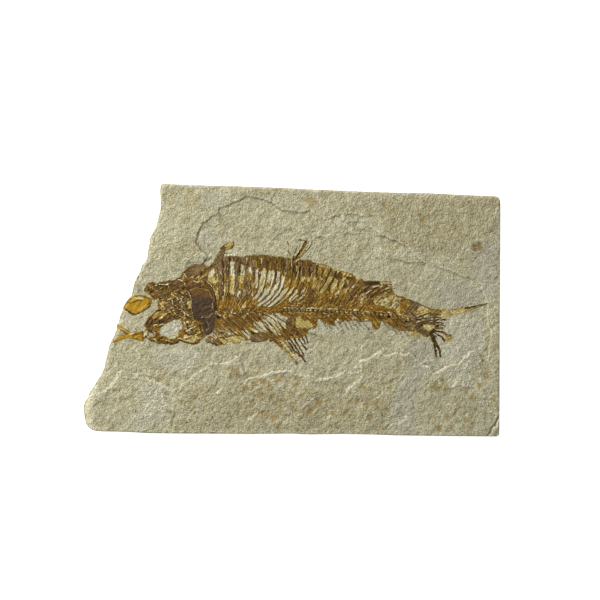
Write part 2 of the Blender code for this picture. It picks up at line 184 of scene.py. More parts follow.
# %% Floor
FLOOR_GLOW = 0.75
FLOOR_SIDE = 6.0
FLOOR_GAP = 0.0001
floor_paint, _, floor_shader = start_material("matt white paper")
floor_shader.inputs["Base Color"].default_value = linear("#f4f4f2")
floor_shader.inputs["Roughness"].default_value = 0.95
floor_shader.inputs["Emission Color"].default_value = linear("#ffffff")
floor_shader.inputs["Emission Strength"].default_value = FLOOR_GLOW
floor_shape = bmesh.new()
bmesh.ops.create_grid(floor_shape, x_segments=1, y_segments=1, size=FLOOR_SIDE / 2)
bmesh.ops.translate(floor_shape, verts=floor_shape.verts, vec=(0, 0, -FLOOR_GAP))
floor_mesh = bpy.data.meshes.new("floor")
floor_shape.to_mesh(floor_mesh)
floor_shape.free()
floor_mesh.materials.append(floor_paint)
floor = bpy.data.objects.new("floor", floor_mesh)
bpy.context.scene.collection.objects.link(floor)
print("floor laid,", FLOOR_SIDE, "m wide")


# %% [markdown]
# ## Tools for drawing relief
# Both the stone's face and the bone on it are low reliefs: one height for each place. So each piece starts
# as a fine flat grid, and functions of the place say how high each corner of it goes. A few tools do it:
# how far a place is from a drawn run, how deep it is inside a drawn outline, and a smooth random grain.
# %% Distances
CURVE_STEPS = 3


def rounded(run, closed=False):
    """A run of points with smooth bends between them, through every point."""
    points = np.array(run, float)
    if closed:
        padded = np.vstack([points[-1:], points, points[:2]])
    else:
        padded = np.vstack([2 * points[0] - points[1], points, 2 * points[-1] - points[-2]])
    shares = np.arange(CURVE_STEPS) / CURVE_STEPS
    smooth = []
    for before, start, end, after in zip(padded, padded[1:], padded[2:], padded[3:]):
        for t in shares:
            pull = (end - before) * t + (2 * before - 5 * start + 4 * end - after) * t ** 2
            smooth.append(start + 0.5 * (pull + (3 * start - before - 3 * end + after) * t ** 3))
    if not closed:
        smooth.append(points[-1])
    return np.array(smooth)


def passed_along(run):
    """How far along a run each of its points is."""
    return np.concatenate([[0], np.cumsum(np.hypot(*np.diff(run, axis=0).T))])


def from_run(px, py, run):
    """How far each place is from a run, how far along the run that is (0 to 1), and on which side."""
    passed = passed_along(run)
    passed = passed / passed[-1]
    away = np.full(px.shape, np.inf)
    along = np.zeros(px.shape)
    side = np.zeros(px.shape)
    for (ax, ay), (bx, by), start, end in zip(run, run[1:], passed, passed[1:]):
        dx = bx - ax
        dy = by - ay
        t = np.clip(((px - ax) * dx + (py - ay) * dy) / max(dx * dx + dy * dy, 1e-9), 0, 1)
        distance = np.hypot(px - ax - t * dx, py - ay - t * dy)
        nearer = distance < away
        away[nearer] = distance[nearer]
        along[nearer] = (start + (end - start) * t)[nearer]
        side[nearer] = np.sign((px - ax) * dy - (py - ay) * dx)[nearer]
    return away, along, side


def depth_inside(px, py, outline):
    """How deep each place is inside a closed outline; outside it is below zero."""
    closed = np.vstack([outline, outline[:1]])
    away = from_run(px, py, closed)[0]
    odd = np.zeros(px.shape, bool)
    for (ax, ay), (bx, by) in zip(closed, closed[1:]):
        if ay != by:
            crosses = (ay > py) != (by > py)
            odd ^= crosses & (px < ax + (py - ay) * (bx - ax) / (by - ay))
    return np.where(odd, away, -away)


def near_run(px, py, run, reach):
    """Which places are within reach of the box round a run."""
    low = np.min(run, axis=0) - reach
    high = np.max(run, axis=0) + reach
    return np.flatnonzero((px > low[0]) & (px < high[0]) & (py > low[1]) & (py < high[1]))


print("a bend is drawn in", CURVE_STEPS, "steps between two points")

# %% Grain
GRAIN_TABLE = 256
SEED_SHIFT_ALONG = 7.3
SEED_SHIFT_ACROSS = 3.1
STREAK_SHIFT = 37.0
STREAK_BORDER = 0.7


def ramp(values, low, high):
    """0 below low, 1 above high, and smooth between them."""
    share = np.clip((values - low) / (high - low), 0, 1)
    return share * share * (3 - 2 * share)


def random_table(seed):
    """A square of random tones from -1 to 1."""
    return np.random.default_rng(seed).uniform(-1, 1, (GRAIN_TABLE, GRAIN_TABLE))


def grain(px, py, size, seed, stretch=1.0, turn=0.0):
    """A smooth random pattern from -1 to 1 with bumps of this size, drawn out along one direction."""
    table = random_table(seed)
    c = math.cos(math.radians(turn))
    s = math.sin(math.radians(turn))
    u = (px * c + py * s) / (size * stretch) + SEED_SHIFT_ALONG * seed
    v = (py * c - px * s) / size + SEED_SHIFT_ACROSS * seed
    i = np.floor(u).astype(int)
    j = np.floor(v).astype(int)
    fu = ramp(u - i, 0, 1)
    fv = ramp(v - j, 0, 1)
    i %= GRAIN_TABLE
    j %= GRAIN_TABLE
    i_next = (i + 1) % GRAIN_TABLE
    j_next = (j + 1) % GRAIN_TABLE
    near = table[i, j] * (1 - fv) + table[i, j_next] * fv
    far = table[i_next, j] * (1 - fv) + table[i_next, j_next] * fv
    return near * (1 - fu) + far * fu


def layered(px, py, layers, seed=0, base=0):
    """Layers of grain on a base. Each has its height, size, shift of the seed, stretch and direction."""
    return sum((high * grain(px, py, size, seed + shift, *way) for high, size, shift, *way in layers), base)


def strokes(u, v, width, length, seed):
    """A tone from -1 to 1 for each short streak of a pattern that runs along v."""
    table = random_table(seed)
    column = u / width
    i = np.floor(column).astype(int) % GRAIN_TABLE
    j = np.floor(v / length + STREAK_SHIFT * table[i, 0]).astype(int) % GRAIN_TABLE
    beside = (i + 1) % GRAIN_TABLE
    share = ramp(column - np.floor(column), STREAK_BORDER, 1.0)
    return table[i, j] * (1 - share) + table[beside, j] * share


print("the grain repeats after", GRAIN_TABLE, "bumps")

# %% [markdown]
# ## The stone's face
# The preparer scraped the stone away round the fish, bed by bed, so the fish lies in a hollow a third of a
# millimetre deep with thin broken ledges at its rim. Outside it the slab still has its natural split face.
# Everything is covered in small scrape marks that run up to the right.
# %% Outlines of the slab
BROKEN_EDGE = [
    (92, 430.5), (88, 428), (85, 424), (83.5, 418), (82.5, 412), (82.5, 406), (84, 402), (87, 398),
    (89, 392), (94, 386), (97, 380), (100, 376.5), (104, 368), (105, 362), (107.5, 352), (109, 345),
    (114, 335), (116, 330), (120, 315), (124, 306), (130, 299), (132, 292), (134, 283), (136.5, 277.5),
    (140, 271), (142, 265), (145, 262), (147, 258), (148, 250), (150, 237.5), (153, 232), (155.5, 228),
    (158.5, 216), (160, 210), (160.5, 205), (159.8, 190), (161.5, 183.5),
]
TOP_EDGE = [
    (161.5, 183.5), (200, 185), (240, 186), (280, 187.5), (320, 189.5), (380, 192), (430, 193), (470, 195),
    (496, 196), (499.3, 197.6),
]
RIGHT_EDGE = [(499.2, 434.8), (499.5, 430), (499.8, 320), (500.5, 201), (499.3, 197.6)]
BOTTOM_EDGE = [
    (92, 430.5), (96, 431.2), (130, 432), (145, 433), (170, 433.5), (250, 434), (293, 433.6), (310, 434.5),
    (340, 434), (370, 434.5), (400, 435.5), (440, 436), (497, 436.6), (499.2, 434.8),
]
CORNER_CRACK = [(485.5, 438), (491, 430), (495, 425), (498.5, 419), (500, 416)]
CHIP_TOP = 384
CHIP_INNER = [(102, 374), (97, 390), (93, 402), (91.5, 412), (93, 424), (97, 433)]
print("the broken edge has", len(BROKEN_EDGE), "points")

# %% Outlines of the hollow and its ledges
CLEANED_EDGE = [
    (60, 278), (137, 277), (150, 275), (158, 274), (165, 271.5), (172, 270), (183, 269), (187, 264),
    (194, 262), (202, 262), (208, 256), (204, 252.5), (200.6, 249.5), (197.5, 245), (195.5, 240), (197, 234),
    (199, 230), (200, 226), (203, 223), (207, 220.5), (212, 217.5), (217, 213), (221, 207.5), (226, 206),
    (230, 205), (234, 202), (240, 199.5), (245, 197), (250, 196.5), (256, 198), (262, 200), (270, 201.5),
    (277, 206), (281, 209), (286, 211), (293, 211.3), (300, 212.5), (310, 211), (316, 215), (323, 218.5),
    (330, 218.5), (335, 216.5), (341, 214.5), (343, 221), (347, 222.5), (352, 221.5), (358, 221), (369, 222),
    (374, 230), (380, 236), (388, 237), (392, 239), (400, 243), (407, 245), (414, 255), (425, 263),
    (436, 266), (447, 270), (452, 272), (458, 274), (465, 277), (472, 279), (480, 284), (483, 293),
    (486, 300), (487, 310), (487.5, 318), (488.5, 325), (490, 332), (490.5, 338), (489, 345), (488, 352),
    (487, 358), (484, 362), (480, 357), (476, 350), (470, 352), (465, 357), (459, 363), (452, 364.5),
    (445, 366.5), (434, 373), (431, 368), (427, 366), (420, 362), (409, 352.5), (404, 354), (396, 352),
    (391, 353.5), (386, 355), (380, 350.5), (376, 353.5), (372, 356), (369, 358.5), (361, 361), (360, 372),
    (352, 372), (344, 370.5), (341, 373), (337, 375.5), (333, 377.5), (326, 378), (320, 378.5), (313, 379.5),
    (309, 376.5), (303, 375.5), (297, 374.5), (290, 371), (284, 370), (278, 371), (272, 372.5), (266, 373.5),
    (260, 376), (254, 377), (247, 378.5), (243, 372), (240, 362), (241, 353), (238, 356), (234, 359),
    (231, 361), (222, 363), (215, 363), (210, 364), (206, 366.5), (204, 369), (200, 371.5), (195, 374.5),
    (190, 378.5), (185, 382), (180, 385), (175, 389), (168, 388), (162, 383.5), (158, 382), (152, 380),
    (145, 379.5), (141, 378), (137, 375), (128, 371), (121, 370.5), (119, 372), (116, 377), (113, 382),
    (110, 386), (103, 390.5), (95, 394), (60, 394),
]
SECOND_BED = [
    (237, 388.5), (240, 387), (243, 384.5), (245, 381), (254, 378.5), (278, 372.5), (290, 372.5), (303, 377),
    (308, 381.5), (313, 381), (320, 382), (333, 379), (344, 372), (351, 371.5), (355, 368.5), (362, 376),
    (356, 379.5), (353, 381.5), (351, 385), (348, 389), (345, 392.5), (341, 394.5), (334, 391), (326, 389.5),
    (320, 386), (313, 384), (305, 386), (290, 384), (275, 382), (262, 385), (250, 391),
]
FISH_BED = [
    (143, 290), (185, 266), (225, 254), (310, 258), (360, 278), (417, 300), (445, 308), (447, 330),
    (420, 338), (380, 327), (310, 333), (262, 342), (215, 346), (150, 342),
]
# Loose ledges: how high, how far the stone behind slopes off, and the run. The stone is higher above a run
# drawn to the right, or below it where the height is negative.
LEDGES = [
    (0.24, 9, [(271.5, 205), (272.5, 198), (275, 192), (278, 188)]),
    (0.1, 7, [(221, 225), (218.5, 218), (219, 210)]),
    (0.1, 7, [(200, 226), (206, 226.5), (211, 226)]),
    (0.3, 9, [(341, 215), (348, 214), (358, 215.5), (374, 216)]),
    (0.3, 9, [(344, 236), (346, 234), (348, 233), (356, 234.5)]),
    (0.26, 7, [(346, 247.5), (348, 245), (350, 243)]),
    (0.22, 8, [(316, 236.5), (325, 238)]),
    (0.26, 9, [(357, 230), (362, 229), (370, 232)]),
    (0.24, 12, [(376, 235.5), (384, 236), (392, 239), (400, 243), (408, 246)]),
    (0.2, 10, [(393, 259), (400, 260.5), (408, 262.5), (415, 263.5), (425, 263)]),
    (0.14, 10, [(428, 262), (447, 270), (458, 274), (472, 279), (479, 280)]),
    (0.16, 6, [(186, 264), (190, 260), (194, 258)]),
    (0.12, 6, [(273, 239), (278.5, 233)]),
    (0.2, 9, [(171, 425), (173, 418), (174.5, 411), (175.5, 404)]),
    (0.16, 8, [(447, 386), (450, 388.5), (456, 386), (462, 386.5), (468, 387.5), (474, 388.5)]),
    (0.12, 7, [(476, 369), (481, 367.5)]),
    (0.12, 7, [(490, 327), (494, 324), (499, 320)]),
    (0.14, 6, [(140, 375.5), (147, 376), (155, 378), (161, 380)]),
    (0.12, 5, [(205, 365), (212, 366.5), (220, 366.5)]),
    (0.12, 8, [(300, 236), (308, 233), (316, 231)]),
    (0.12, 7, [(430, 214), (440, 210), (449, 211)]),
    (-0.2, 8, [(237, 389), (240, 387.5), (243, 384.5), (246, 380)]),
    (-0.2, 9, [(305, 385.5), (308, 382), (313, 380), (320, 379)]),
    (-0.18, 8, [(269, 380), (274, 379.5), (280, 375)]),
    (-0.24, 9, [(341, 395), (345, 393), (348, 389.5), (351, 385.5), (354, 382), (360, 379.5), (366, 371)]),
    (-0.22, 9, [(352, 372), (357, 366.5), (359.5, 360), (361, 351), (362.5, 343)]),
    (-0.15, 10, [(361, 361.5), (367, 359), (373, 355.5), (380, 350.5), (386, 347)]),
    (-0.2, 8, [(386, 356), (392, 353.5), (399, 352)]),
    (-0.18, 8, [(398, 355), (404, 354.2), (411, 352)]),
    (-0.22, 9, [(247, 420), (251, 417.5), (255, 414.5), (260, 410)]),
    (-0.18, 7, [(283, 422), (286.5, 418), (288, 410)]),
    (-0.2, 7, [(187, 420.5), (189.5, 416), (192.5, 411)]),
    (-0.18, 7, [(324, 420), (328, 417), (330.5, 414.5)]),
    (-0.24, 9, [(434, 374.5), (437, 370.5), (443, 367.5), (449, 365.5)]),
    (-0.22, 8, [(463, 358), (468, 352.5), (475, 349.5)]),
    (-0.2, 7, [(464, 366), (470, 360)]),
    (-0.18, 8, [(419, 365), (426, 361.5), (433, 359.5)]),
    (-0.16, 7, [(452, 385), (458, 381.5), (464, 384.5), (471, 384.5)]),
    (-0.16, 8, [(300, 409), (307, 402), (315, 398)]),
    (-0.16, 8, [(214, 396), (221, 390), (226, 382)]),
    (-0.14, 7, [(107, 372), (114, 366), (118, 360)]),
    (-0.16, 8, [(372, 400), (379, 395), (384, 388)]),
    (-0.14, 7, [(398, 425), (404, 419), (407, 412)]),
]
print(len(LEDGES), "loose ledges and", len(CLEANED_EDGE), "points round the cleaned hollow")

# %% [markdown]
# ## Height of the face
# The face is the sum of what happened to it: the natural bed, the hollow that was scraped into it, loose
# ledges, scrape marks, the crack across one corner and the worn rim. The same function is used again for
# the bone, which follows the stone that it lies on. Borders and reaches are in pixels of the photograph.
# %% Borders that wander
STONE_SEED = 31
STONE_WANDER = 1.0
WANDER_SIZE = 5
# For each layer of a wobble: how far it goes and its size, in pixels, and the shift of its seed.
WOBBLE_X = [(0.6, 2.6, 0), (0.3, 1.1, 1)]
WOBBLE_Y = [(0.6, 2.6, 2), (0.3, 1.1, 3)]


def wandered(px, py, seed, far=0.0):
    """The places shifted a little by noise, so that what is drawn there wanders as a broken edge does."""
    wx = layered(px, py, [*WOBBLE_X, (far, WANDER_SIZE, 4)], seed, px)
    wy = layered(px, py, [*WOBBLE_Y, (far, WANDER_SIZE, 5)], seed, py)
    return wx, wy


print("borders wobble by up to", WOBBLE_X[0][0], "pixels")

# %% Scrape marks
# For each layer of marks: height in millimetres, size in pixels, seed, length and direction.
SCRAPE_LAYERS = [
    (0.105, 3.4, 11, 1.5, -48),
    (0.060, 2.1, 12, 1.3, -30),
    (0.100, 6.5, 13, 1.7, -52),
    (0.070, 15, 14, 1.4, -40),
    (0.060, 44, 15, 1, 0),
]
SCALE_LAYERS = [(3.2, 17, 17, 1.5, -35), (1.1, 5, 18)]
SCALE_RISE = 0.045
SCALE_EDGE = 0.82
SCRATCH_GRAIN = (1.9, 16, 6, -50)
SCRATCH_DEPTH = 0.08
SCRAPE = 0.9
LOWER_ROUGHNESS = 0.3
LOWER_STRIP = (345, 385)


def scraped(px, py):
    """Scrape marks, flaked-off scales and the natural unevenness of the bed."""
    marks = layered(px, py, SCRAPE_LAYERS)
    scales = layered(px, py, SCALE_LAYERS)
    marks += SCALE_RISE * (np.floor(scales) + ramp(scales - np.floor(scales), SCALE_EDGE, 1.0))
    scratch = grain(px, py, *SCRATCH_GRAIN)
    strength = SCRAPE * (1 + LOWER_ROUGHNESS * ramp(py, *LOWER_STRIP))
    return strength * (marks - SCRATCH_DEPTH * ramp(scratch, 0.45, 0.85))


print(len(SCRAPE_LAYERS), "layers of scrape marks")

# %% Height of the stone
FACE = 9.0
TALLEST = 0.4
CLEANED_DEPTH = 0.35
CLEANED_BORDER = 0.6
SHALLOW_SHARE = 0.65
SHALLOW_END = (150, 225)
SECOND_BED_DEPTH = 0.16
SECOND_BED_BORDER = 0.9
LEDGE_BORDER = 0.8
LEDGE_FADE = 0.3
UNDER_FISH = 0.6
CALM_BORDER = (-3, 4)
CRACK_DEPTH = 0.45
CRACK_SIDES = (0.2, 1.3)
BROKEN_WEAR = 0.5
BROKEN_REACH = 3.2
BROKEN_WOBBLE = [(1.2, 5, 23)]
WORN_LEAST = 0.6
WORN_PATCHES = [(0.4, 9, 24)]
CHIP_DEPTH = 2.3
CHIP_REACH = 9.5
CHIP_CURVE = 1.7
CHIP_FADE = 16
CHIP_WOBBLE = [(3, 8, 25)]
RIM_WEAR = 0.28
RIM_REACH = 1.4
RIM_LEAST = 0.7
RIM_MORE = 0.9
RIM_GRAIN = (4, 26)


def ledge_rise(px, py, rise, reach, run):
    """How much a ledge adds: a step at the run, sloping off behind it and fading at both ends."""
    away, along, side = from_run(px, py, rounded(run))
    high_side = ramp(side * away * math.copysign(1, rise), -LEDGE_BORDER, LEDGE_BORDER)
    ends = ramp(along, 0, LEDGE_FADE) * ramp(1 - along, 0, LEDGE_FADE)
    return abs(rise) * high_side * np.exp(-away / reach) * ends


def chipped_end(px, py):
    """How far the lower left end is chipped down, from 0 to 1, which is all of it at the end itself."""
    line_x, line_y = np.transpose(CHIP_INNER)
    below = ramp(layered(px, py, CHIP_WOBBLE, base=py), CHIP_TOP, CHIP_TOP + CHIP_FADE)
    slope = np.clip(from_run(px, py, CHIP_INNER)[0] / CHIP_REACH, 0, 1) ** CHIP_CURVE
    return slope * (px < np.interp(py, line_y, line_x)) * below


def stone_height(px, py):
    """Height of the stone's face in millimetres above the back, at places of the photograph."""
    wx, wy = wandered(px, py, STONE_SEED, STONE_WANDER)
    hollow = CLEANED_DEPTH * (SHALLOW_SHARE + (1 - SHALLOW_SHARE) * ramp(px, *SHALLOW_END))
    height = FACE - hollow * ramp(depth_inside(wx, wy, CLEANED_EDGE), -CLEANED_BORDER, CLEANED_BORDER)
    second_bed = ramp(depth_inside(wx, wy, SECOND_BED), -SECOND_BED_BORDER, SECOND_BED_BORDER)
    height -= SECOND_BED_DEPTH * second_bed
    for rise, reach, run in LEDGES:
        near = near_run(wx, wy, run, 3 * reach)
        height[near] += ledge_rise(wx[near], wy[near], rise, reach, run)
    height -= CRACK_DEPTH * (1 - ramp(from_run(wx, wy, CORNER_CRACK)[0], *CRACK_SIDES))
    calm = ramp(depth_inside(px, py, FISH_BED), *CALM_BORDER)
    height += scraped(px, py) * (1 - UNDER_FISH * calm)
    ragged = layered(px, py, BROKEN_WOBBLE, base=from_run(px, py, BROKEN_EDGE)[0])
    worn = layered(px, py, WORN_PATCHES, base=WORN_LEAST)
    height -= BROKEN_WEAR * (1 - ramp(ragged, 0.0, BROKEN_REACH)) * worn
    height -= CHIP_DEPTH * chipped_end(px, py)
    sawn = np.min([from_run(px, py, edge)[0] for edge in (TOP_EDGE, RIGHT_EDGE, BOTTOM_EDGE)], axis=0)
    chipped = RIM_LEAST + RIM_MORE * np.clip(grain(px, py, *RIM_GRAIN), 0, 1)
    height -= RIM_WEAR * (1 - ramp(sawn / chipped, 0.0, RIM_REACH))
    rise = height - FACE
    return FACE + np.where(rise > 0, TALLEST * np.tanh(rise / TALLEST), rise)


print("face from", FACE, "mm, hollow", CLEANED_DEPTH, "mm deep")


# %% [markdown]
# ## Painting with drawn marks
# A preparer's drawing of a fossil is built from marks: areas of one tone, and lines for ribs and rays. Here
# a mark has a tint, a rise in millimetres, a half width in pixels (or AREA for filled outlines) and one or
# more runs of points. A later mark covers earlier ones. Each tint becomes a mask on the mesh, and the
# material turns the masks into colour and breaks their edges up with its own grain, so that no mark looks
# printed. A mark with a tint that has no mask, such as ochre or gap, only clears what it covers.
# %% Paint the marks
AREA = 0
RUN_TAPER = 0.35
CRISP = 0.5


def paint(px, py, marks, tints, seed, softness=None, far=0.0):
    """The relief in millimetres and the mask of each tint that a list of marks leaves at these places."""
    wx, wy = wandered(px, py, seed, far)
    relief = np.zeros(px.shape)
    masks = {tint: np.zeros(px.shape) for tint in tints}
    for tint, rise, half_width, *runs in marks:
        soft = (softness or {}).get(tint, CRISP)
        for run in runs:
            near = near_run(wx, wy, run, half_width + 2 + soft)
            if half_width == AREA:
                cover = ramp(depth_inside(wx[near], wy[near], run), -soft, soft)
                body = cover
            else:
                away, along, _ = from_run(wx[near], wy[near], rounded(run))
                width = half_width * (1 - RUN_TAPER * along)
                cover = 1 - ramp(away, width - soft, width + soft)
                body = np.sqrt(np.clip(1 - (away / (width + 0.5)) ** 2, 0, 1))
            relief[near] += rise * body
            for name, mask in masks.items():
                mask[near] = mask[near] * (1 - cover) + (name == tint) * cover
    return relief, masks


print("a line is", RUN_TAPER, "thinner at its end")

# %% Scatter small marks
CHIP_HALF_LENGTHS = (0.5, 2.0)
CHIP_BOW = 0.25
CHIP_WIDTHS = (0.6, 1.3)
CHIP_INSET = 0.8
TRIES = 3


def crushed(outline, count, seed, choices, heading, spread_angle):
    """Small marks scattered inside an outline, most of them lying along one heading."""
    random = np.random.default_rng(seed)
    x, y = random.uniform(np.min(outline, axis=0), np.max(outline, axis=0), (count * TRIES, 2)).T
    inside = depth_inside(x, y, outline) > CHIP_INSET
    marks = []
    for cx, cy in list(zip(x[inside], y[inside]))[:count]:
        tint, rise, half_width = choices[random.integers(len(choices))]
        angle = math.radians(heading + random.normal(0, spread_angle))
        half = random.uniform(*CHIP_HALF_LENGTHS)
        dx = half * math.cos(angle)
        dy = -half * math.sin(angle)
        bow = random.uniform(-CHIP_BOW, CHIP_BOW) * half
        middle = (cx + bow * math.sin(angle), cy + bow * math.cos(angle))
        run = [(cx - dx, cy - dy), middle, (cx + dx, cy + dy)]
        marks.append((tint, rise, half_width * random.uniform(*CHIP_WIDTHS), run))
    return marks


print("a small mark is up to", 2 * CHIP_HALF_LENGTHS[1], "pixels long")

# %% Keep values on a mesh
def keep(mesh, name, values, rest=0):
    """Stores values for the mesh's first points, which are its face, and the rest for all others."""
    full = np.full(len(mesh.vertices), rest, np.float32)
    full[:len(values)] = values
    mesh.attributes.new(name, "FLOAT", "POINT").data.foreach_set("value", full)


def keep_wear_and_shading(mesh, face_points, passes, full_height):
    """Stores how far each point of the face stands above its surroundings: crests are 1, pits are -1."""
    count = len(mesh.vertices)
    places = np.zeros(count * 3)
    mesh.vertices.foreach_get("co", places)
    height = places[2::3]
    ends = np.zeros(len(mesh.edges) * 2, int)
    mesh.edges.foreach_get("vertices", ends)
    on_face = (ends[0::2] < face_points) & (ends[1::2] < face_points)
    start = ends[0::2][on_face]
    end = ends[1::2][on_face]
    neighbours = np.maximum(np.bincount(start, minlength=count) + np.bincount(end, minlength=count), 1)
    around = height
    for _ in range(passes):
        sums = np.bincount(start, around[end], count) + np.bincount(end, around[start], count)
        around = sums / neighbours
    wear_and_shading = np.clip((height - around) / (full_height * MM), -1, 1)
    keep(mesh, "wear_and_shading", wear_and_shading[:face_points])


print("masks and wear are kept as values of the mesh's points")

# %% [markdown]
# ## Stains in the limestone
# Iron in the ground water left rusty specks, most of them in the lower strip, and a few round brown spots.
# Some places are greyer, with clay mixed in, and some are chalky white, where the tool bruised the stone.
# Some pale and dark lines along the ledges are painted highlight and painted shade.
# %% Stains and specks
STONE_MARKS = [
    ("grey", 0, AREA,
     [(410, 340), (430, 341), (445, 347), (441, 368), (420, 385), (415, 410), (418, 437), (380, 437),
      (393, 410), (397, 385), (408, 365)],
     [(430, 282), (450, 279), (470, 283), (485, 292), (484, 303), (455, 307), (436, 305)],
     [(472, 238), (490, 236), (500, 248), (500, 296), (488, 300), (478, 282), (470, 262)],
     [(200, 192), (216, 189), (226, 196), (220, 206), (206, 208)],
     [(201, 230), (213, 226), (219, 236), (214, 250), (205, 250), (199, 241)]),
    ("pale", 0, AREA,
     [(140, 386), (155, 382), (168, 388), (172, 402), (170, 414), (158, 425), (144, 430), (130, 430),
      (127, 421), (143, 408), (146, 396)],
     [(438, 330), (452, 316), (482, 318), (486, 345), (478, 370), (452, 382), (440, 372)],
     [(158, 322), (170, 317), (184, 318), (185, 332), (176, 339), (158, 338)],
     [(150, 346), (172, 347), (196, 348), (203, 356), (190, 368), (172, 372), (158, 364)],
     [(280, 334), (305, 332), (311, 344), (307, 362), (296, 356), (284, 344)],
     [(432, 314), (452, 318), (456, 330), (448, 345), (440, 352), (434, 340), (436, 326)],
     [(316, 319), (345, 319), (370, 319), (372, 330), (352, 334), (322, 332)]),
    ("tan", 0, AREA,
     [(225, 380), (262, 392), (320, 392), (352, 386), (398, 376), (392, 404), (386, 432), (330, 430),
      (250, 428), (180, 428), (178, 402), (200, 384)],
     [(372, 196), (430, 197), (494, 202), (496, 232), (470, 240), (450, 256), (410, 248), (384, 228)],
     [(244, 188), (258, 189), (272, 191), (272, 196), (256, 196), (245, 195)]),
    ("tan", 0, 4, [(189, 190), (193, 196), (197, 202)], [(434, 222), (452, 236), (466, 258)],
     [(396, 222), (412, 214), (434, 204)], [(420, 240), (438, 248), (452, 252)]),
    ("tan", 0, 2.2, [(338, 252), (341, 257), (342, 263)]),
    ("rust", 0, AREA,
     [(473, 243), (477, 241.4), (481, 243), (482, 247), (479.5, 251), (475, 251.5), (472.3, 248)]),
    ("smudge", 0, 0.9, [(474, 244.5), (476.5, 246)], [(478.5, 248), (480, 246)], [(209, 432), (212, 433)],
     [(295.5, 362.5), (296.5, 365)]),
    ("rust", 0, AREA,
     [(419, 214.6), (421.6, 213.6), (424, 217), (424.8, 221.6), (422.4, 222.6), (420, 219)]),
    ("pale", 0, 1.2, [(480, 240.5), (483, 241.5)], [(391.5, 284), (398, 283), (406, 283.5)],
     [(414, 277), (420, 281), (424, 276)], [(378, 208), (382, 203), (386, 206)], [(208, 262), (211, 264)]),
    ("smudge", 0, 0.6, [(475.5, 244.5), (478, 247)], [(269, 193.3), (270, 193.6)],
     [(286.8, 242.2), (288.5, 247.3)], [(288.6, 250), (289.7, 255.5)], [(453.5, 278), (454.5, 281)]),
    ("rust", 0, 0.8, [(341.5, 332), (344, 333)]),
    # The runs along the hollow's rim beside the head and along the trunk's upper edge are painted shade
    # lines.
    ("smudge", 0, 0.75, [(310, 333.3), (314, 333.5), (317, 335.6)],
     [(199.6, 227.6), (196.2, 236.6), (196, 240.6)],
     [(196, 240.6), (198, 245.6), (200.4, 249.8), (202.4, 252.4)],
     [(203.6, 261), (207.8, 259.8), (211.4, 257.6)], [(204.4, 253), (206.6, 253.6)],
     [(223, 254.6), (226, 254), (227.8, 253.2)]),
    # Pale lines along lit ridges, the hollow's rim and above the trunk: partly freshly broken stone, partly
    # painted highlight.
    ("fresh", 0, 0.95, [(202.4, 253.6), (206.4, 254.8), (211, 256)],
     [(222.6, 255.8), (228.6, 255), (235, 254.8)],
     [(137, 375), (143, 378), (152, 380.4), (160, 384), (168, 388.6)],
     [(121, 371), (116, 381), (109, 387.6), (102, 390.6)],
     [(320, 378.7), (330, 377), (338.3, 374.2), (345, 370.8)], [(350, 371.7), (356.7, 367), (360, 358.3)],
     [(238.3, 389.2), (245, 381.7), (251.7, 379.2), (258, 376.6)],
     [(320, 378.7), (313.3, 376.4), (306.7, 375.8), (296.7, 373.3), (290, 371), (280, 371.7),
      (266.7, 374.2)]),
    ("fresh", 0, 0.8, [(172, 334), (175, 331), (177, 327)]),
]
RUST = [("rust", 0, 0.6), ("rust", 0, 0.9), ("rust", 0, 1.4), ("pale", 0, 0.7)]
BRUISES = [("fresh", 0, 0.4), ("fresh", 0, 0.7), ("pale", 0, 1.0)]
RUST_SPOTS = [
    (309, 200), (385, 204), (235, 371), (259, 380), (246, 388), (310, 412), (192, 401), (473, 396),
    (448, 416), (368, 404), (438, 388), (272, 396), (320, 404), (297, 384),
]
SPECK_MARKS = [
    ("rust", 0, 2.2, *([(x - 1.1, y + 0.6), (x + 1.1, y - 0.5)] for x, y in RUST_SPOTS)),
    *crushed(
        [(225, 366), (262, 376), (300, 374), (324, 390), (320, 430), (290, 431), (252, 422), (238, 396)],
        110, 71, RUST, 30, 60,
    ),
    *crushed([(326, 382), (380, 376), (394, 374), (392, 410), (352, 430), (324, 424)], 55, 72, RUST, 30, 60),
    *crushed([(420, 384), (496, 362), (497, 400), (480, 431), (424, 431)], 45, 73, RUST, 30, 60),
    *crushed([(104, 384), (150, 388), (206, 384), (205, 412), (150, 416), (108, 408)], 26, 74, RUST, 30, 60),
    *crushed([(370, 200), (480, 200), (470, 262), (404, 262), (384, 228)], 14, 75, RUST, 30, 60),
    *crushed(
        [(142, 384), (154, 384), (162, 392), (168, 404), (160, 418), (142, 414)], 110, 81, BRUISES, 50, 50,
    ),
    *crushed(
        [(450, 378), (462, 377.6), (476, 380), (475, 386.6), (462, 387), (450, 386)], 60, 82, BRUISES, 50,
        50,
    ),
    *crushed([(478, 398), (486, 400), (487, 407), (479, 407)], 10, 83, BRUISES, 50, 50),
    *crushed([(91, 391), (97, 386), (101, 389), (101, 397), (94, 400)], 44, 84, BRUISES, 50, 50),
    *crushed(
        [(472, 242), (481, 241), (483, 248), (478, 252), (472, 250)], 22, 85,
        [("smudge", 0, 0.7), ("rust", 0, 0.8)], 30, 60,
    ),
]
STONE_MARKS += SPECK_MARKS
print(len(STONE_MARKS), "marks stain the stone")
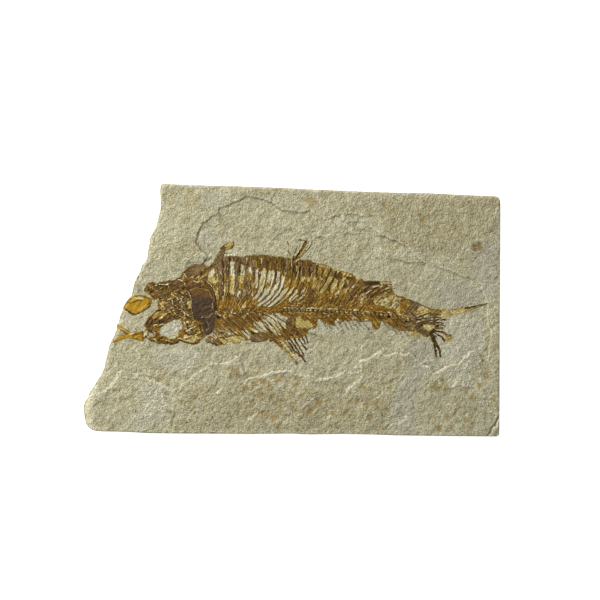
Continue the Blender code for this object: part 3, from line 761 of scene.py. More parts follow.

# %% Painted shade in clefts, painted highlights on lit ledges, and films
# A ledge that faces away from the light gets a dark line of painted shade, and one that faces it a pale rim
# that is partly freshly broken stone and partly painted highlight.
SHADED_STRETCHES = [(10, 47)]
LIT_STRETCHES = [(37, 48), (54, 63), (77, 86), (89, 104), (104, 115), (118, 129)]
FILM_SEAMS = [
    [(190, 290), (195, 288), (201, 287.6), (207, 289), (212, 295), (213.4, 303), (212, 310), (214.6, 314),
     (213.6, 327), (208, 333)],
    [(190, 291), (192, 299), (192.6, 311), (195.4, 318.6), (203, 321.6), (203.6, 328), (206, 334)],
    [(203.6, 287), (205.4, 281), (207.6, 276), (208, 269)],
    [(208, 269), (215, 267), (221, 259)],
    [(291, 262), (295, 262), (299, 260.6)],
    [(361, 281), (363.6, 289), (369, 298), (376, 297.6), (384, 294), (392, 291.6)],
    [(271, 338.8), (285, 337.8), (302, 336), (306, 333)],
    [(416, 304), (414, 317), (414.6, 331)],
]
FINE_SPINES = [
    (321, 320), (326, 321), (331, 321), (337, 322), (343, 321), (347, 321), (351, 321), (357, 321),
    (362, 321), (384, 322), (390, 325), (396, 328), (403, 330),
]
STONE_MARKS += [("cleft" if rise > 0 else "fresh", 0, 0.45, run) for rise, _, run in LEDGES]
STONE_MARKS += [
    ("cleft", 0, 0.4, *(CLEANED_EDGE[first:last] for first, last in SHADED_STRETCHES)),
    ("fresh", 0, 0.35, *(CLEANED_EDGE[first:last] for first, last in LIT_STRETCHES)),
    ("film", 0, 1.9, *FILM_SEAMS),
    ("smudge", 0, 0.5, *([(x, y), (x + 4, y + 4.5), (x + 7, y + 9)] for x, y in FINE_SPINES)),
]
print(len(STONE_MARKS), "marks on the stone in all")

# %% [markdown]
# ## The slab
# A grid is bent so that its four sides follow the slab's real outline: three sawn edges and the broken one.
# Its rim is then pulled down to the back in several rows. On the sawn sides the rows stay nearly straight.
# On the broken side they step in and out with the beds of the stone.
# %% Bend a grid to the outline
def along_run(run, shares):
    """Places at these shares of a run's length."""
    points = np.array(run, float)
    passed = passed_along(points)
    return np.stack([np.interp(shares * passed[-1], passed, points[:, axis]) for axis in (0, 1)], -1)


def bend_to_outline(across, up):
    """Places inside the slab's outline, from shares across it (left to right) and up it."""
    left = along_run(BROKEN_EDGE, up)
    right = along_run(RIGHT_EDGE, up)
    bottom = along_run(BOTTOM_EDGE, across)
    top = along_run(TOP_EDGE, across)
    u = across[:, None]
    v = up[:, None]
    corners = (1 - u) * (1 - v) * np.array(BOTTOM_EDGE[0]) + u * (1 - v) * np.array(BOTTOM_EDGE[-1])
    corners = corners + (1 - u) * v * np.array(TOP_EDGE[0]) + u * v * np.array(TOP_EDGE[-1])
    return (1 - u) * left + u * right + (1 - v) * bottom + v * top - corners


def place_points(shape, px, py, height):
    """Moves the shape's points to places of the photograph and heights in millimetres."""
    x, y = on_slab(px, py)
    for vert, place in zip(shape.verts, zip(x, y, height * MM)):
        vert.co = place


print("the bent grid starts at", BOTTOM_EDGE[0], "and ends at", TOP_EDGE[-1])

# %% Pull down the sides
# The rows' heights as shares of the slab's, and how far the beds step back at some heights, in millimetres.
SIDE_LEVELS = [0.93, 0.84, 0.72, 0.68, 0.55, 0.44, 0.36, 0.32, 0.17, 0.04, 0.0]
BED_HEIGHTS = [0.0, 0.32, 0.36, 0.68, 0.72, 1.0]
BED_STEP_BACK = [1.3, 1.1, 0.55, 0.45, 0.1, 0.0]
BED_SHARE = 0.55
BED_ROUGHNESS = 0.12
BROKEN_SIDE = (0.3, 1.5)
SAW_WAVE = 0.05
BACK_BEVEL = 0.35


def side_inset(level, rim_x, rim_y, broken):
    """How far each rim point's row at this level stands in, in millimetres."""
    rough = layered(rim_x, rim_y, [(0.35, 9, 41), (0.3, 4, 42 + int(9 * level))], base=BED_SHARE)
    step = rough * np.interp(level, BED_HEIGHTS, BED_STEP_BACK)
    step += BED_ROUGHNESS * grain(rim_x, rim_y, 2, 60 + int(50 * level))
    saw = SAW_WAVE * grain(rim_x + 30 * level, rim_y, 3, 43)
    return broken * step + saw + (BACK_BEVEL if level == 0 else 0)


def pull_down_sides(shape):
    """Extrudes the rim down to the back in rows, and gives the last row's edges."""
    edges = [edge for edge in shape.edges if edge.is_boundary]
    loop = list({vert for edge in edges for vert in edge.verts})
    outline = np.array([vert.co for vert in loop])
    rim_x, rim_y = on_photo(outline[:, 0], outline[:, 1])
    broken = 1 - ramp(from_run(rim_x, rim_y, BROKEN_EDGE)[0], *BROKEN_SIDE)
    inward = outline[:, :2].mean(axis=0) - outline[:, :2]
    inward /= np.linalg.norm(inward, axis=1)[:, None]
    order = {vert: number for number, vert in enumerate(loop)}
    for level in SIDE_LEVELS:
        made = bmesh.ops.extrude_edge_only(shape, edges=edges)["geom"]
        edges = [item for item in made if isinstance(item, bmesh.types.BMEdge) and item.is_boundary]
        inset = side_inset(level, rim_x, rim_y, broken) * MM
        below = {}
        for vert in (item for item in made if isinstance(item, bmesh.types.BMVert)):
            above = [edge.other_vert(vert) for edge in vert.link_edges if edge.other_vert(vert) in order]
            number = order[above[0]]
            below[vert] = number
            x, y = outline[number, :2] + inward[number] * inset[number]
            vert.co = (x, y, outline[number, 2] * level)
        order = below
    return edges


def close(shape, edges, name):
    """Fills the open back, shades all but it smooth, turns the faces outwards and gives the mesh."""
    bmesh.ops.holes_fill(shape, edges=edges, sides=0)
    for face in shape.faces:
        face.smooth = len(face.verts) == 4
    bmesh.ops.recalc_face_normals(shape, faces=shape.faces)
    mesh = bpy.data.meshes.new(name)
    shape.to_mesh(mesh)
    shape.free()
    return mesh


print("the sides have", len(SIDE_LEVELS), "rows")

# %% Build the slab
SLAB_COLUMNS = 372
SLAB_ROWS = 225
# How soft the border of each stain is, in pixels.
STAIN_SOFTNESS = {
    "grey": 5.0, "tan": 3.0, "pale": 4.0, "fresh": 0.6,
    "cleft": 0.5, "rust": 1.5, "smudge": 0.35, "film": 0.8,
}


def make_slab():
    """The slab: a bent grid for its face, rows for its sides and a flat back."""
    shape = bmesh.new()
    bmesh.ops.create_grid(shape, x_segments=SLAB_COLUMNS, y_segments=SLAB_ROWS, size=0.5)
    flat = np.array([vert.co for vert in shape.verts])
    px, py = bend_to_outline(flat[:, 0] + 0.5, flat[:, 1] + 0.5).T
    place_points(shape, px, py, stone_height(px, py))
    mesh = close(shape, pull_down_sides(shape), "limestone_slab")
    masks = paint(px, py, STONE_MARKS, STAIN_SOFTNESS, STONE_SEED, STAIN_SOFTNESS, STONE_WANDER)[1]
    for name, mask in masks.items():
        keep(mesh, name, mask)
    keep(mesh, "side", np.zeros(len(px)), rest=1)
    keep_wear_and_shading(mesh, len(px), passes=3, full_height=0.14)
    return mesh


slab_mesh = make_slab()
print("the slab has", len(slab_mesh.polygons), "faces")

# %% [markdown]
# ## Limestone
# This is lake limestone: lime mud with a little clay, dull and chalky, with no shine at all. Its colour
# wanders between a greenish cream and grey over some millimetres, and each scrape shows a paler bruise. So
# one tone, mixed from four sizes of noise, picks a cream, the masks lay stains over it, crests are painted
# paler, partly as wear and partly as painted highlight, hollows are painted darker as painted shade, and a
# fine bump gives the grain that is too small for the mesh. Real grains of lime mud can't be seen at all, so
# the finest noise is drawn as coarse as one pixel of the photograph.
# %% Lay colours over each other
def weigh(tree, *parts, start=0.0):
    """The sum of values, each times its weight."""
    total = start
    for value, weight in parts:
        total = add(tree, "Math", {0: value, 1: weight, 2: total}, operation="MULTIPLY_ADD")
    return total


def cover(tree, under, over, value, low, high, strength=1.0):
    """Lays a colour over another as a value goes from low to high, at most with this strength."""
    share = add(tree, "MapRange", {"Value": value, "From Min": low, "From Max": high, "To Max": strength})
    return add(tree, "Mix", {0: share, 6: under, 7: over}, output=2, data_type="RGBA")


STAIN_BORDER = (0.02, 0.25)
STAIN_FROM = 0.2


def stain(tree, under, name, over, edge, strength, full=0.6):
    """Lays a colour over another where its mask is, with the border broken up by a value round zero."""
    mask = add(tree, "Attribute", attribute_name=name, output="Fac")
    pushed = weigh(tree, (mask, 1.0), start=edge)
    limits = {"From Min": STAIN_FROM, "From Max": full, "To Max": strength}
    share = add(tree, "MapRange", {"Value": pushed, **limits})
    limits = {"From Min": STAIN_BORDER[0], "From Max": STAIN_BORDER[1]}
    share = weigh(tree, (share, add(tree, "MapRange", {"Value": mask, **limits})))
    return add(tree, "Mix", {0: share, 6: under, 7: over}, output=2, data_type="RGBA")


print("a stain starts where its mask is", STAIN_BORDER[0])

# %% Limestone material
STONE_TONES = ("#696349", "#928c6e", "#aaa587", "#bfba9d", "#dcd8be")
WARM_TONES = ("#6a5a36", "#94835a", "#b8ab82")
BED_TONES = ("#746c52", "#968f72", "#aca68b", "#c3bea5")
WORN_AND_HIGHLIT_CREST = "#d9d5c0"
SHADED_PIT = "#6b6248"
RUST_SPECK = "#876c36"
# For each stain: its dark, middle and light tone, its strength, and whether its border is torn or soft.
STONE_STAINS = {
    "grey": ("#7f7d6e", "#a09d8e", "#c0beaf", 0.55, "soft"),
    "tan": ("#776a45", "#98895f", "#b5a67d", 0.28, "soft"),
    "pale": ("#9b9884", "#b8b5a1", "#d6d3c2", 0.65, "soft"),
    # The fresh tone is partly bruised and freshly broken stone and partly painted highlight along lit
    # ledges.
    "fresh": ("#b3ae92", "#cac5ab", "#e6e2cd", 0.72, "torn"),
    # The cleft tone is painted shade along ledges that face away from the light.
    "cleft": ("#5b543c", "#726b51", "#8d866b", 0.7, "torn"),
    "rust": ("#665324", "#8d743a", "#a99256", 0.74, "torn"),
    # Smudge is brown film and dirt on the stone, and also painted shade along some rims.
    "smudge": ("#43361f", "#5f4f33", "#83734f", 0.85, "torn"),
    "film": ("#2d210f", "#54401d", "#7d6433", 0.95, "crisp"),
}
# For each pattern: its size in millimetres and how many finer ones are in it.
STONE_GRAIN = {
    "broad": (8, 3), "middle": (1.6, 3), "fine": (0.6, 2), "dust": (0.33, 1), "warmth": (3.5, 3),
    "rusty": (11, 3), "pits": (0.9, 2), "pores": (0.4, 2),
}
NOISE_ROUGHNESS = 0.55
SPECK_SPACING = 1.9
BED_THICKNESS = 1.1
SAW_SPACING = 0.5
STONE_ROUGHNESS = 0.92
STONE_SHEEN = 0.2
STONE_BUMP = 0.42


def limestone():
    """Dull chalky stone with stains, crests paler from wear and painted highlight, hollows in painted shade,
    rusty specks, beds on its sides and a fine bump.
    """
    material, tree, shader = start_material("scraped lake limestone")
    place = add(tree, "TexCoord", output="Object")
    grains = {}
    for name, (size, detail) in STONE_GRAIN.items():
        pattern = {"Vector": place, "Scale": per(size), "Detail": detail, "Roughness": NOISE_ROUGHNESS}
        grains[name] = add(tree, "TexNoise", pattern)
    wear_and_shading, side, tan, pale = (
        add(tree, "Attribute", attribute_name=name, output="Fac") for name in ("wear_and_shading", "side", "tan", "pale")
    )
    fine = grains["fine"]
    tone = weigh(tree, (grains["broad"], 0.35), (grains["middle"], 0.5), (fine, 0.9), (grains["dust"], 1.0))
    tone = add(tree, "MapRange", {"Value": tone, "From Min": 0.9, "From Max": 1.85})
    colour = add(tree, "ValToRGB", {"Fac": tone}, colours=STONE_TONES)
    warm = add(tree, "ValToRGB", {"Fac": tone}, colours=WARM_TONES)
    colour = cover(tree, colour, warm, grains["warmth"], 0.52, 0.7, 0.45)
    borders = {
        "soft": (weigh(tree, (grains["middle"], 0.9), (fine, 0.7), start=-0.8), 1.1),
        "torn": (weigh(tree, (fine, 3.0), (grains["dust"], 2.2), start=-2.5), 0.6),
    }
    borders["crisp"] = (borders["soft"][0], 0.6)
    for name, (*tones, strength, border) in STONE_STAINS.items():
        over = add(tree, "ValToRGB", {"Fac": tone}, colours=tones)
        edge, full = borders[border]
        colour = stain(tree, colour, name, over, edge, strength, full)
    # Crests are painted paler, partly as wear and partly as painted highlight; hollows are painted darker as
    # painted shade.
    colour = cover(tree, colour, linear(WORN_AND_HIGHLIT_CREST), wear_and_shading, 0.1, 1.0, 0.55)
    colour = cover(tree, colour, linear(SHADED_PIT), wear_and_shading, -0.1, -1.0, 0.55)
    specks = {"Vector": place, "Scale": per(SPECK_SPACING), "Randomness": 1.0}
    specks = add(tree, "TexVoronoi", specks, output="Distance")
    specks = add(tree, "MapRange", {"Value": specks, "From Min": 0.3, "From Max": 0.12, "To Max": 0.6})
    rusty = add(tree, "MapRange", {"Value": grains["rusty"], "From Min": 0.42, "From Max": 0.58})
    share = weigh(tree, (specks, weigh(tree, (rusty, 0.6), (tan, 0.8))))
    rusted = {0: share, 6: colour, 7: linear(RUST_SPECK)}
    colour = add(tree, "Mix", rusted, output=2, data_type="RGBA")
    laid = add(tree, "Mapping", {"Vector": place, "Scale": (0.06, 0.06, 1.0)})
    layers = {"Vector": laid, "Scale": per(BED_THICKNESS), "Detail": 4, "Roughness": 0.7}
    beds = weigh(tree, (add(tree, "TexNoise", layers), 1.0), (fine, 0.5), (grains["middle"], 0.3))
    beds = add(tree, "MapRange", {"Value": beds, "From Min": 0.7, "From Max": 1.1})
    beds = add(tree, "ValToRGB", {"Fac": beds}, colours=BED_TONES)
    colour = cover(tree, colour, beds, side, 0.0, 1.0, 0.75)
    tree.links.new(colour, shader.inputs["Base Color"])
    shader.inputs["Roughness"].default_value = STONE_ROUGHNESS
    shader.inputs["Specular IOR Level"].default_value = STONE_SHEEN
    upright = add(tree, "Mapping", {"Vector": place, "Rotation": (0.35, 0.25, 0), "Scale": (1, 1, 0.07)})
    saw = {"Vector": upright, "Scale": per(SAW_SPACING), "Detail": 2, "Roughness": NOISE_ROUGHNESS}
    saw_marks = weigh(tree, (add(tree, "TexNoise", saw), side))
    pits = weigh(tree, (grains["pits"], 1.0), (grains["pores"], 1.1), (saw_marks, 0.8))
    depth = weigh(tree, (tan, 0.25), (pale, 0.25), start=1.05)
    height = weigh(tree, (pits, depth))
    bump = add(tree, "Bump", {"Height": height, "Strength": 1.0, "Distance": STONE_BUMP * MM})
    tree.links.new(bump, shader.inputs["Normal"])
    return material


def show(mesh, node, material):
    """Makes the piece that stands for a node, riding on the body, gives it its material and hides the node's
    part.
    """
    mesh.materials.append(material)
    piece = bpy.data.objects.new(mesh.name, mesh)
    bpy.context.scene.collection.objects.link(piece)
    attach(piece, "root")
    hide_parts(node)
    triangles = sum(len(face.vertices) - 2 for face in mesh.polygons)
    print(mesh.name, "has", triangles, "triangles and", material.name)


show(slab_mesh, "slab", limestone())

# %% [markdown]
# ## Bone turned to stone
# Under a loupe the bone is a thin brown crust. Where it is whole it is ochre and shiny in places, in the
# thick parts it is nearly black, where it was scraped thin it turns amber and honey, and where it is gone
# only a chalky film is left. Each of these tones is one tint, and the drawing says where each one lies. The
# fibres of real bone are too fine to show, so they are drawn about one pixel of the photograph wide.
# %% Bone material
BONE_COLOURS = {
    "walnut": ("#32230a", "#5b441c", "#876a34"),
    "mauve": ("#3b2d19", "#6c5738", "#9c855b"),
    "russet": ("#39240f", "#5d4120", "#7d5c33"),
    "amber": ("#584210", "#8a6b24", "#bb9948"),
    "honey": ("#7d6730", "#a89554", "#d3c68f"),
    "chalk": ("#8d8560", "#bab28e", "#e2dcc1"),
    "umber": ("#120b03", "#2c1e0c", "#574223"),
    "pit": ("#060504", "#0c0906", "#1c150d"),
}
OCHRE = ("#2a1d04", "#543b0a", "#745414", "#937029", "#cab26f")
PLATE = ("#241b11", "#35291b", "#423426", "#544430", "#7c6545")
RESIN = ("#664b0c", "#87640f", "#9c7718", "#ae8825", "#c4a450")
DARK_RIM = "#3a2a12"
WORN_AND_HIGHLIT_BONE = "#bda873"
SHADED_BONE = "#2a1d0c"
# Blotches, flecks and grit: the size of each in millimetres and how many finer patterns are in it.
BONE_GRAIN = [(1.5, 3), (0.6, 2), (0.36, 1)]
TONE_MIDDLE = 1.35
TONE_REACH = 0.56
TINT_STRENGTH = 0.95
BONE_SHEEN = 0.12
BONE_BUMP = 0.22


def bone(name, base, contrast=1.0, roughness=0.5):
    """Bone of five tones, with fibres from the mesh and flecks from noise, under the drawn tints."""
    material, tree, shader = start_material(name)
    place = add(tree, "TexCoord", output="Object")
    grains = []
    for size, detail in BONE_GRAIN:
        pattern = {"Vector": place, "Scale": per(size), "Detail": detail, "Roughness": NOISE_ROUGHNESS}
        grains.append(add(tree, "TexNoise", pattern))
    blotch, fleck, grit = grains
    fibre, rim, wear_and_shading = (
        add(tree, "Attribute", attribute_name=name, output="Fac") for name in ("fibre", "rim", "wear_and_shading")
    )
    tone = weigh(tree, (fibre, 0.27), (blotch, 0.4), (fleck, 1.0), (grit, 1.3))
    reach = TONE_REACH / contrast
    limits = {"From Min": TONE_MIDDLE - reach, "From Max": TONE_MIDDLE + reach}
    tone = add(tree, "MapRange", {"Value": tone, **limits})
    colour = add(tree, "ValToRGB", {"Fac": tone}, colours=base)
    edge = weigh(tree, (fibre, 0.2), (fleck, 0.7), start=-0.3)
    for tint, tones in BONE_COLOURS.items():
        over = add(tree, "ValToRGB", {"Fac": tone}, colours=tones)
        colour = stain(tree, colour, tint, over, edge, TINT_STRENGTH)
    colour = cover(tree, colour, linear(DARK_RIM), weigh(tree, (rim, 1.0), (fleck, 0.8)), 0.8, 1.4, 0.6)
    # Crests of the crust are painted paler, partly as wear and partly as painted highlight; hollows are
    # painted darker as painted shade.
    colour = cover(tree, colour, linear(WORN_AND_HIGHLIT_BONE), wear_and_shading, 0.2, 1.2, 0.25)
    colour = cover(tree, colour, linear(SHADED_BONE), wear_and_shading, -0.15, -1.0, 0.5)
    tree.links.new(colour, shader.inputs["Base Color"])
    limits = {"From Min": 0.3, "From Max": 0.7, "To Min": roughness - 0.1, "To Max": roughness + 0.15}
    tree.links.new(add(tree, "MapRange", {"Value": blotch, **limits}), shader.inputs["Roughness"])
    shader.inputs["Specular IOR Level"].default_value = BONE_SHEEN
    crust = weigh(tree, (fleck, 1.0), (grit, 0.8), (fibre, 0.3))
    bump = add(tree, "Bump", {"Height": crust, "Strength": contrast, "Distance": BONE_BUMP * MM})
    tree.links.new(bump, shader.inputs["Normal"])
    return material


brown_bone = bone("brown mineralised bone", OCHRE)
dark_bone = bone("dark mineralised bone", PLATE, contrast=0.6, roughness=0.45)
amber_bone = bone("amber mineralised bone", RESIN, contrast=0.55, roughness=0.42)
print("bone has", len(brown_bone.node_tree.nodes), "nodes")

# %% [markdown]
# ## Building one bone
# A bone piece is a grid over its outline, finer than a pixel. Inside the outline it lies a little above the
# stone, outside it dips below, so the border between bone and stone is crisp and follows the stone's own
# unevenness. Where stone shows through a window, the film dips too. The rim is pulled onto a smooth line,
# drawn down into the stone and closed underneath.
# %% Relief of a bone
SUNK = 0.3
LIFT = 0.10
CRUST = 0.018
# For each layer of grain: its height, size in pixels and shift of the seed, then its stretch and direction.
RAGGED_LAYERS = [(0.7, 2.4, 7), (0.4, 5, 8), (0.4, 1.2, 12)]
FINE_FIBRE = (0.6, 0.95, 9, 6, 90)
BROAD_FIBRE = (0.5, 2.8, 11, 4, 90)
CRUST_LAYERS = [(1, 1.5, 10), (1.2, 2.9, 13)]
STREAKS = 0.8
STREAK_WIDTH = 1.25
STREAK_LENGTH = 6.5
STREAK_SEED = 14
THICKEST = 0.4
SLOPE_SIDES = (-1.1, 0.9)
SEAM_SIDES = (1.6, 3.2)
SEAM_FILL = 2.6
RIM_SIDES = (0.2, 1.9)
BONE_SOFTNESS = {"russet": 1.7, "mauve": 0.8, "amber": 0.7}


def across_jaws(px, py):
    """Straight fibres, for the pieces of the head."""
    return py + 0.5 * px, px


def bone_relief(px, py, outline, marks, lift, grow, seed, flow, frayed):
    """Height in millimetres above the stone, and the masks, for places on a bone piece."""
    depth = depth_inside(px, py, outline) + grow + frayed * layered(px, py, RAGGED_LAYERS, seed)
    seam = np.min([from_run(px, py, run)[0] for run in FILM_SEAMS], axis=0)
    depth = depth + SEAM_FILL * (1 - ramp(seam, *SEAM_SIDES))
    inside = ramp(depth, *SLOPE_SIDES)
    film = -SUNK + (SUNK + lift) * inside
    relief, masks = paint(px, py, marks, BONE_COLOURS, seed, BONE_SOFTNESS)
    relief = np.where(relief > 0, THICKEST * np.tanh(relief / THICKEST), relief)
    u, v = flow(px, py)
    streaks = STREAKS * strokes(u, v, STREAK_WIDTH, STREAK_LENGTH, seed + STREAK_SEED)
    fibre = layered(u, v, [BROAD_FIBRE], seed, layered(u, v, [FINE_FIBRE], seed) + streaks)
    crust = CRUST * layered(px, py, CRUST_LAYERS, seed, fibre)
    masks["fibre"] = fibre
    masks["rim"] = 1 - ramp(depth, *RIM_SIDES)
    return film + (relief + crust) * inside, masks


print("bone stands", LIFT, "mm above the stone")

# %% Builder for bone pieces
FILM_BOTTOM = 8.35
SKIRT = 1.3
GRID_MARGIN = 2
RIM_PULLS = 3
PULL_SHARE = 0.8
PULL_STEP = 0.1


def cut_grid(drawn, cell):
    """A flat grid of small cells, cut off a little way outside an outline, in the photograph's pixels."""
    low = drawn.min(axis=0) - SKIRT - GRID_MARGIN
    high = drawn.max(axis=0) + SKIRT + GRID_MARGIN
    columns, rows = (int(side) for side in np.ceil((high - low) / cell))
    shape = bmesh.new()
    bmesh.ops.create_grid(shape, x_segments=columns, y_segments=rows, size=0.5)
    px, py = (low + (np.array([vert.co[:2] for vert in shape.verts]) + 0.5) * (high - low)).T
    for vert, x, y in zip(shape.verts, px, py):
        vert.co = (x, y, 0)
    outside = [vert for vert, depth in zip(shape.verts, depth_inside(px, py, drawn)) if depth < -SKIRT]
    bmesh.ops.delete(shape, geom=outside, context="VERTS")
    loose = [vert for vert in shape.verts if not vert.link_faces]
    bmesh.ops.delete(shape, geom=loose, context="VERTS")
    return shape


def pull_to_skirt(px, py, drawn):
    """Rim points moved square to the outline until they lie on a smooth line just outside it."""
    for _ in range(RIM_PULLS):
        here = depth_inside(px, py, drawn)
        slope_x = (depth_inside(px + PULL_STEP, py, drawn) - here) / PULL_STEP
        slope_y = (depth_inside(px, py + PULL_STEP, drawn) - here) / PULL_STEP
        px = px + PULL_SHARE * (-SKIRT - here) * slope_x
        py = py + PULL_SHARE * (-SKIRT - here) * slope_y
    return px, py


def make_bone(name, outline, marks, cell, seed, lift=LIFT, grow=0.5, flow=across_jaws, frayed=1.0):
    """One bone piece: its relief as a grid, drawn down into the stone at the rim and closed below."""
    drawn = rounded(outline, closed=True)
    shape = cut_grid(drawn, cell)
    px, py = np.array([vert.co[:2] for vert in shape.verts]).T
    rim = [edge for edge in shape.edges if edge.is_boundary]
    at_rim = np.array([vert.is_boundary for vert in shape.verts])
    px[at_rim], py[at_rim] = pull_to_skirt(px[at_rim], py[at_rim], drawn)
    relief, masks = bone_relief(px, py, drawn, marks, lift, grow, seed, flow, frayed)
    place_points(shape, px, py, stone_height(px, py) + relief)
    for edge in rim:
        edge.smooth = False
    made = bmesh.ops.extrude_edge_only(shape, edges=rim)["geom"]
    for item in made:
        if isinstance(item, bmesh.types.BMVert):
            item.co.z = FILM_BOTTOM * MM
    lower = [item for item in made if isinstance(item, bmesh.types.BMEdge) and item.is_boundary]
    mesh = close(shape, lower, name)
    for mask_name, mask in masks.items():
        keep(mesh, mask_name, mask)
    keep_wear_and_shading(mesh, len(px), passes=8, full_height=0.07)
    return mesh


CHIPS = [
    ("umber", 0.02, 0.45), ("umber", -0.01, 0.4), ("umber", 0.02, 0.3), ("walnut", 0.03, 0.7),
    ("walnut", 0.02, 0.6), ("walnut", 0.02, 0.4), ("honey", 0.03, 0.35), ("chalk", 0.02, 0.22),
    ("amber", 0.03, 0.45), ("russet", 0.02, 0.6), ("mauve", 0.02, 0.6), ("mauve", 0.02, 0.4),
]
PALE_CHIPS = [
    ("honey", 0.03, 0.5), ("honey", 0.02, 0.35), ("chalk", 0.02, 0.3), ("mauve", 0.02, 0.5),
    ("ochre", 0.03, 0.6), ("walnut", 0.02, 0.4), ("walnut", 0.02, 0.3), ("umber", 0.02, 0.3),
    ("amber", 0.03, 0.4),
]
print(len(CHIPS), "kinds of chips in crushed bone")

# %% [markdown]
# ## The jaws at the broken edge
# Two amber pieces lie free in front of the skull: a shell-shaped plate of the upper jaw, smooth and shiny,
# and a fork where the two halves of the lower jaw meet. Both are thick enough to stand out from the stone.
# %% Plate of the upper jaw
JAW_CELL = 0.25
UPPER_JAW_PLATE = [
    (128.5, 300.5), (132, 297), (134, 295.5), (140, 295.4), (144, 295.2), (147, 297), (150, 298),
    (151.5, 300), (151, 303), (149.5, 306.5), (146, 309.5), (142.5, 311.8), (138, 313.7), (133, 314.8),
    (129.3, 313), (127.5, 310.8), (124.5, 309.8), (124, 307.7), (126, 304),
]
UPPER_JAW_MARKS = [
    ("honey", 0, 0.8, [(133, 299), (138, 297.6), (144, 298)], [(138, 310.6), (142, 308.4), (145.5, 305)]),
    ("umber", -0.07, 0.5, [(127.5, 302.8), (132.5, 302.8), (138, 301.2), (142, 300)]),
    ("walnut", 0, 0.7, [(136, 296.2), (140, 295.8), (146, 297.2), (150, 299.2)]),
    ("umber", -0.02, 1.3, [(126.6, 310.6), (130.5, 313), (134, 314.4), (138, 313.6)]),
    ("umber", -0.02, 0.5, [(138, 313.6), (143, 311.8), (147, 309.2)],
     [(147.6, 305), (149.6, 302.4), (150, 300)]),
    ("walnut", -0.02, 0.9, [(144, 310.6), (148.6, 307.4), (150.8, 303)]),
    ("chalk", 0.01, 0.5, [(137, 299), (141, 298.3), (144, 298.5)]),
]
upper_jaw_mesh = make_bone(
    "upper_jaw_plate_bone", UPPER_JAW_PLATE, UPPER_JAW_MARKS, JAW_CELL, seed=110, lift=0.14, frayed=0.4,
)
show(upper_jaw_mesh, "upper_jaw_plate", amber_bone)

# %% Fork of the lower jaw
LOWER_JAW_FORK = [
    (117.8, 325.2), (120, 326.2), (123, 328.2), (127, 330.6), (131, 333.2), (135, 332.6), (139, 332.2),
    (142.5, 332), (143.4, 336), (143, 340.8), (139, 340), (134, 338.4), (129, 338), (124, 338.2),
    (119.5, 340), (114.2, 342), (113.8, 341), (117, 338.3), (120.5, 336.4), (124.5, 334.8), (127.2, 334.2),
    (124, 331.8), (121, 329.6), (118, 327.4),
]
LOWER_JAW_MARKS = [
    ("honey", 0.02, 0.3, [(121, 328.4), (126, 331.6), (131, 334.6)]),
    ("russet", 0, 0.8, [(122.5, 331), (127, 334.2)], [(134, 334), (138, 334.5), (141, 333.6)]),
    ("umber", 0, 0.4, [(121.4, 335.6), (123.2, 335.2)], [(133, 338.4), (138, 339.6)]),
    ("walnut", 0, 0.9, [(142.4, 332.4), (142.6, 336), (142.4, 340.4)]),
    ("chalk", 0, 0.4, [(131, 333.4), (134, 333)]),
]
lower_jaw_mesh = make_bone(
    "lower_jaw_fork_bone", LOWER_JAW_FORK, LOWER_JAW_MARKS, JAW_CELL,
    seed=120, lift=0.12, grow=0.9, frayed=0.3,
)
show(lower_jaw_mesh, "lower_jaw_fork", amber_bone)

# %% [markdown]
# ## The skull
# The skull is crushed: dark roof bones along the top, a tangle of cheek bones round the eye socket, a long
# open window where bare stone shows, and the lower jaw bar under it. Its marks go from the roof down.
# %% Outline of the skull
SKULL = [
    (145, 291), (145.5, 287), (147, 284), (150, 282), (153, 282.5), (157, 283.5), (159, 282), (164, 282),
    (169, 280.5), (173, 280.5), (177, 278), (181, 276), (183, 272), (185, 270), (189, 267), (193, 264.5),
    (200, 264), (204, 264), (206.2, 268.8), (207.3, 273), (206, 277.5), (204, 282), (203, 286.4),
    (195, 286.4), (190, 287.6), (188.3, 290), (189.8, 296.7), (191, 303.1), (191.1, 311.9), (194, 319.8),
    (202.6, 323.1), (202, 325.8), (203.1, 332.5), (204, 335.5), (202.6, 337.5), (201, 340), (199, 343),
    (196, 344.3), (190, 344.3), (185, 343), (180, 341), (177, 342.5), (172, 344.7), (167, 344.5),
    (160, 343.3), (155, 342.5), (150, 340.5), (147, 338.5), (144, 338), (143, 334), (145, 330.5),
    (147, 328.5), (145.5, 326), (145, 323), (147, 319), (150, 316.5), (153, 313.5), (156, 311), (158, 309),
    (157, 305), (157, 301), (153, 299), (151.5, 295.5), (148.5, 293.5),
]
print("the skull's outline has", len(SKULL), "points")

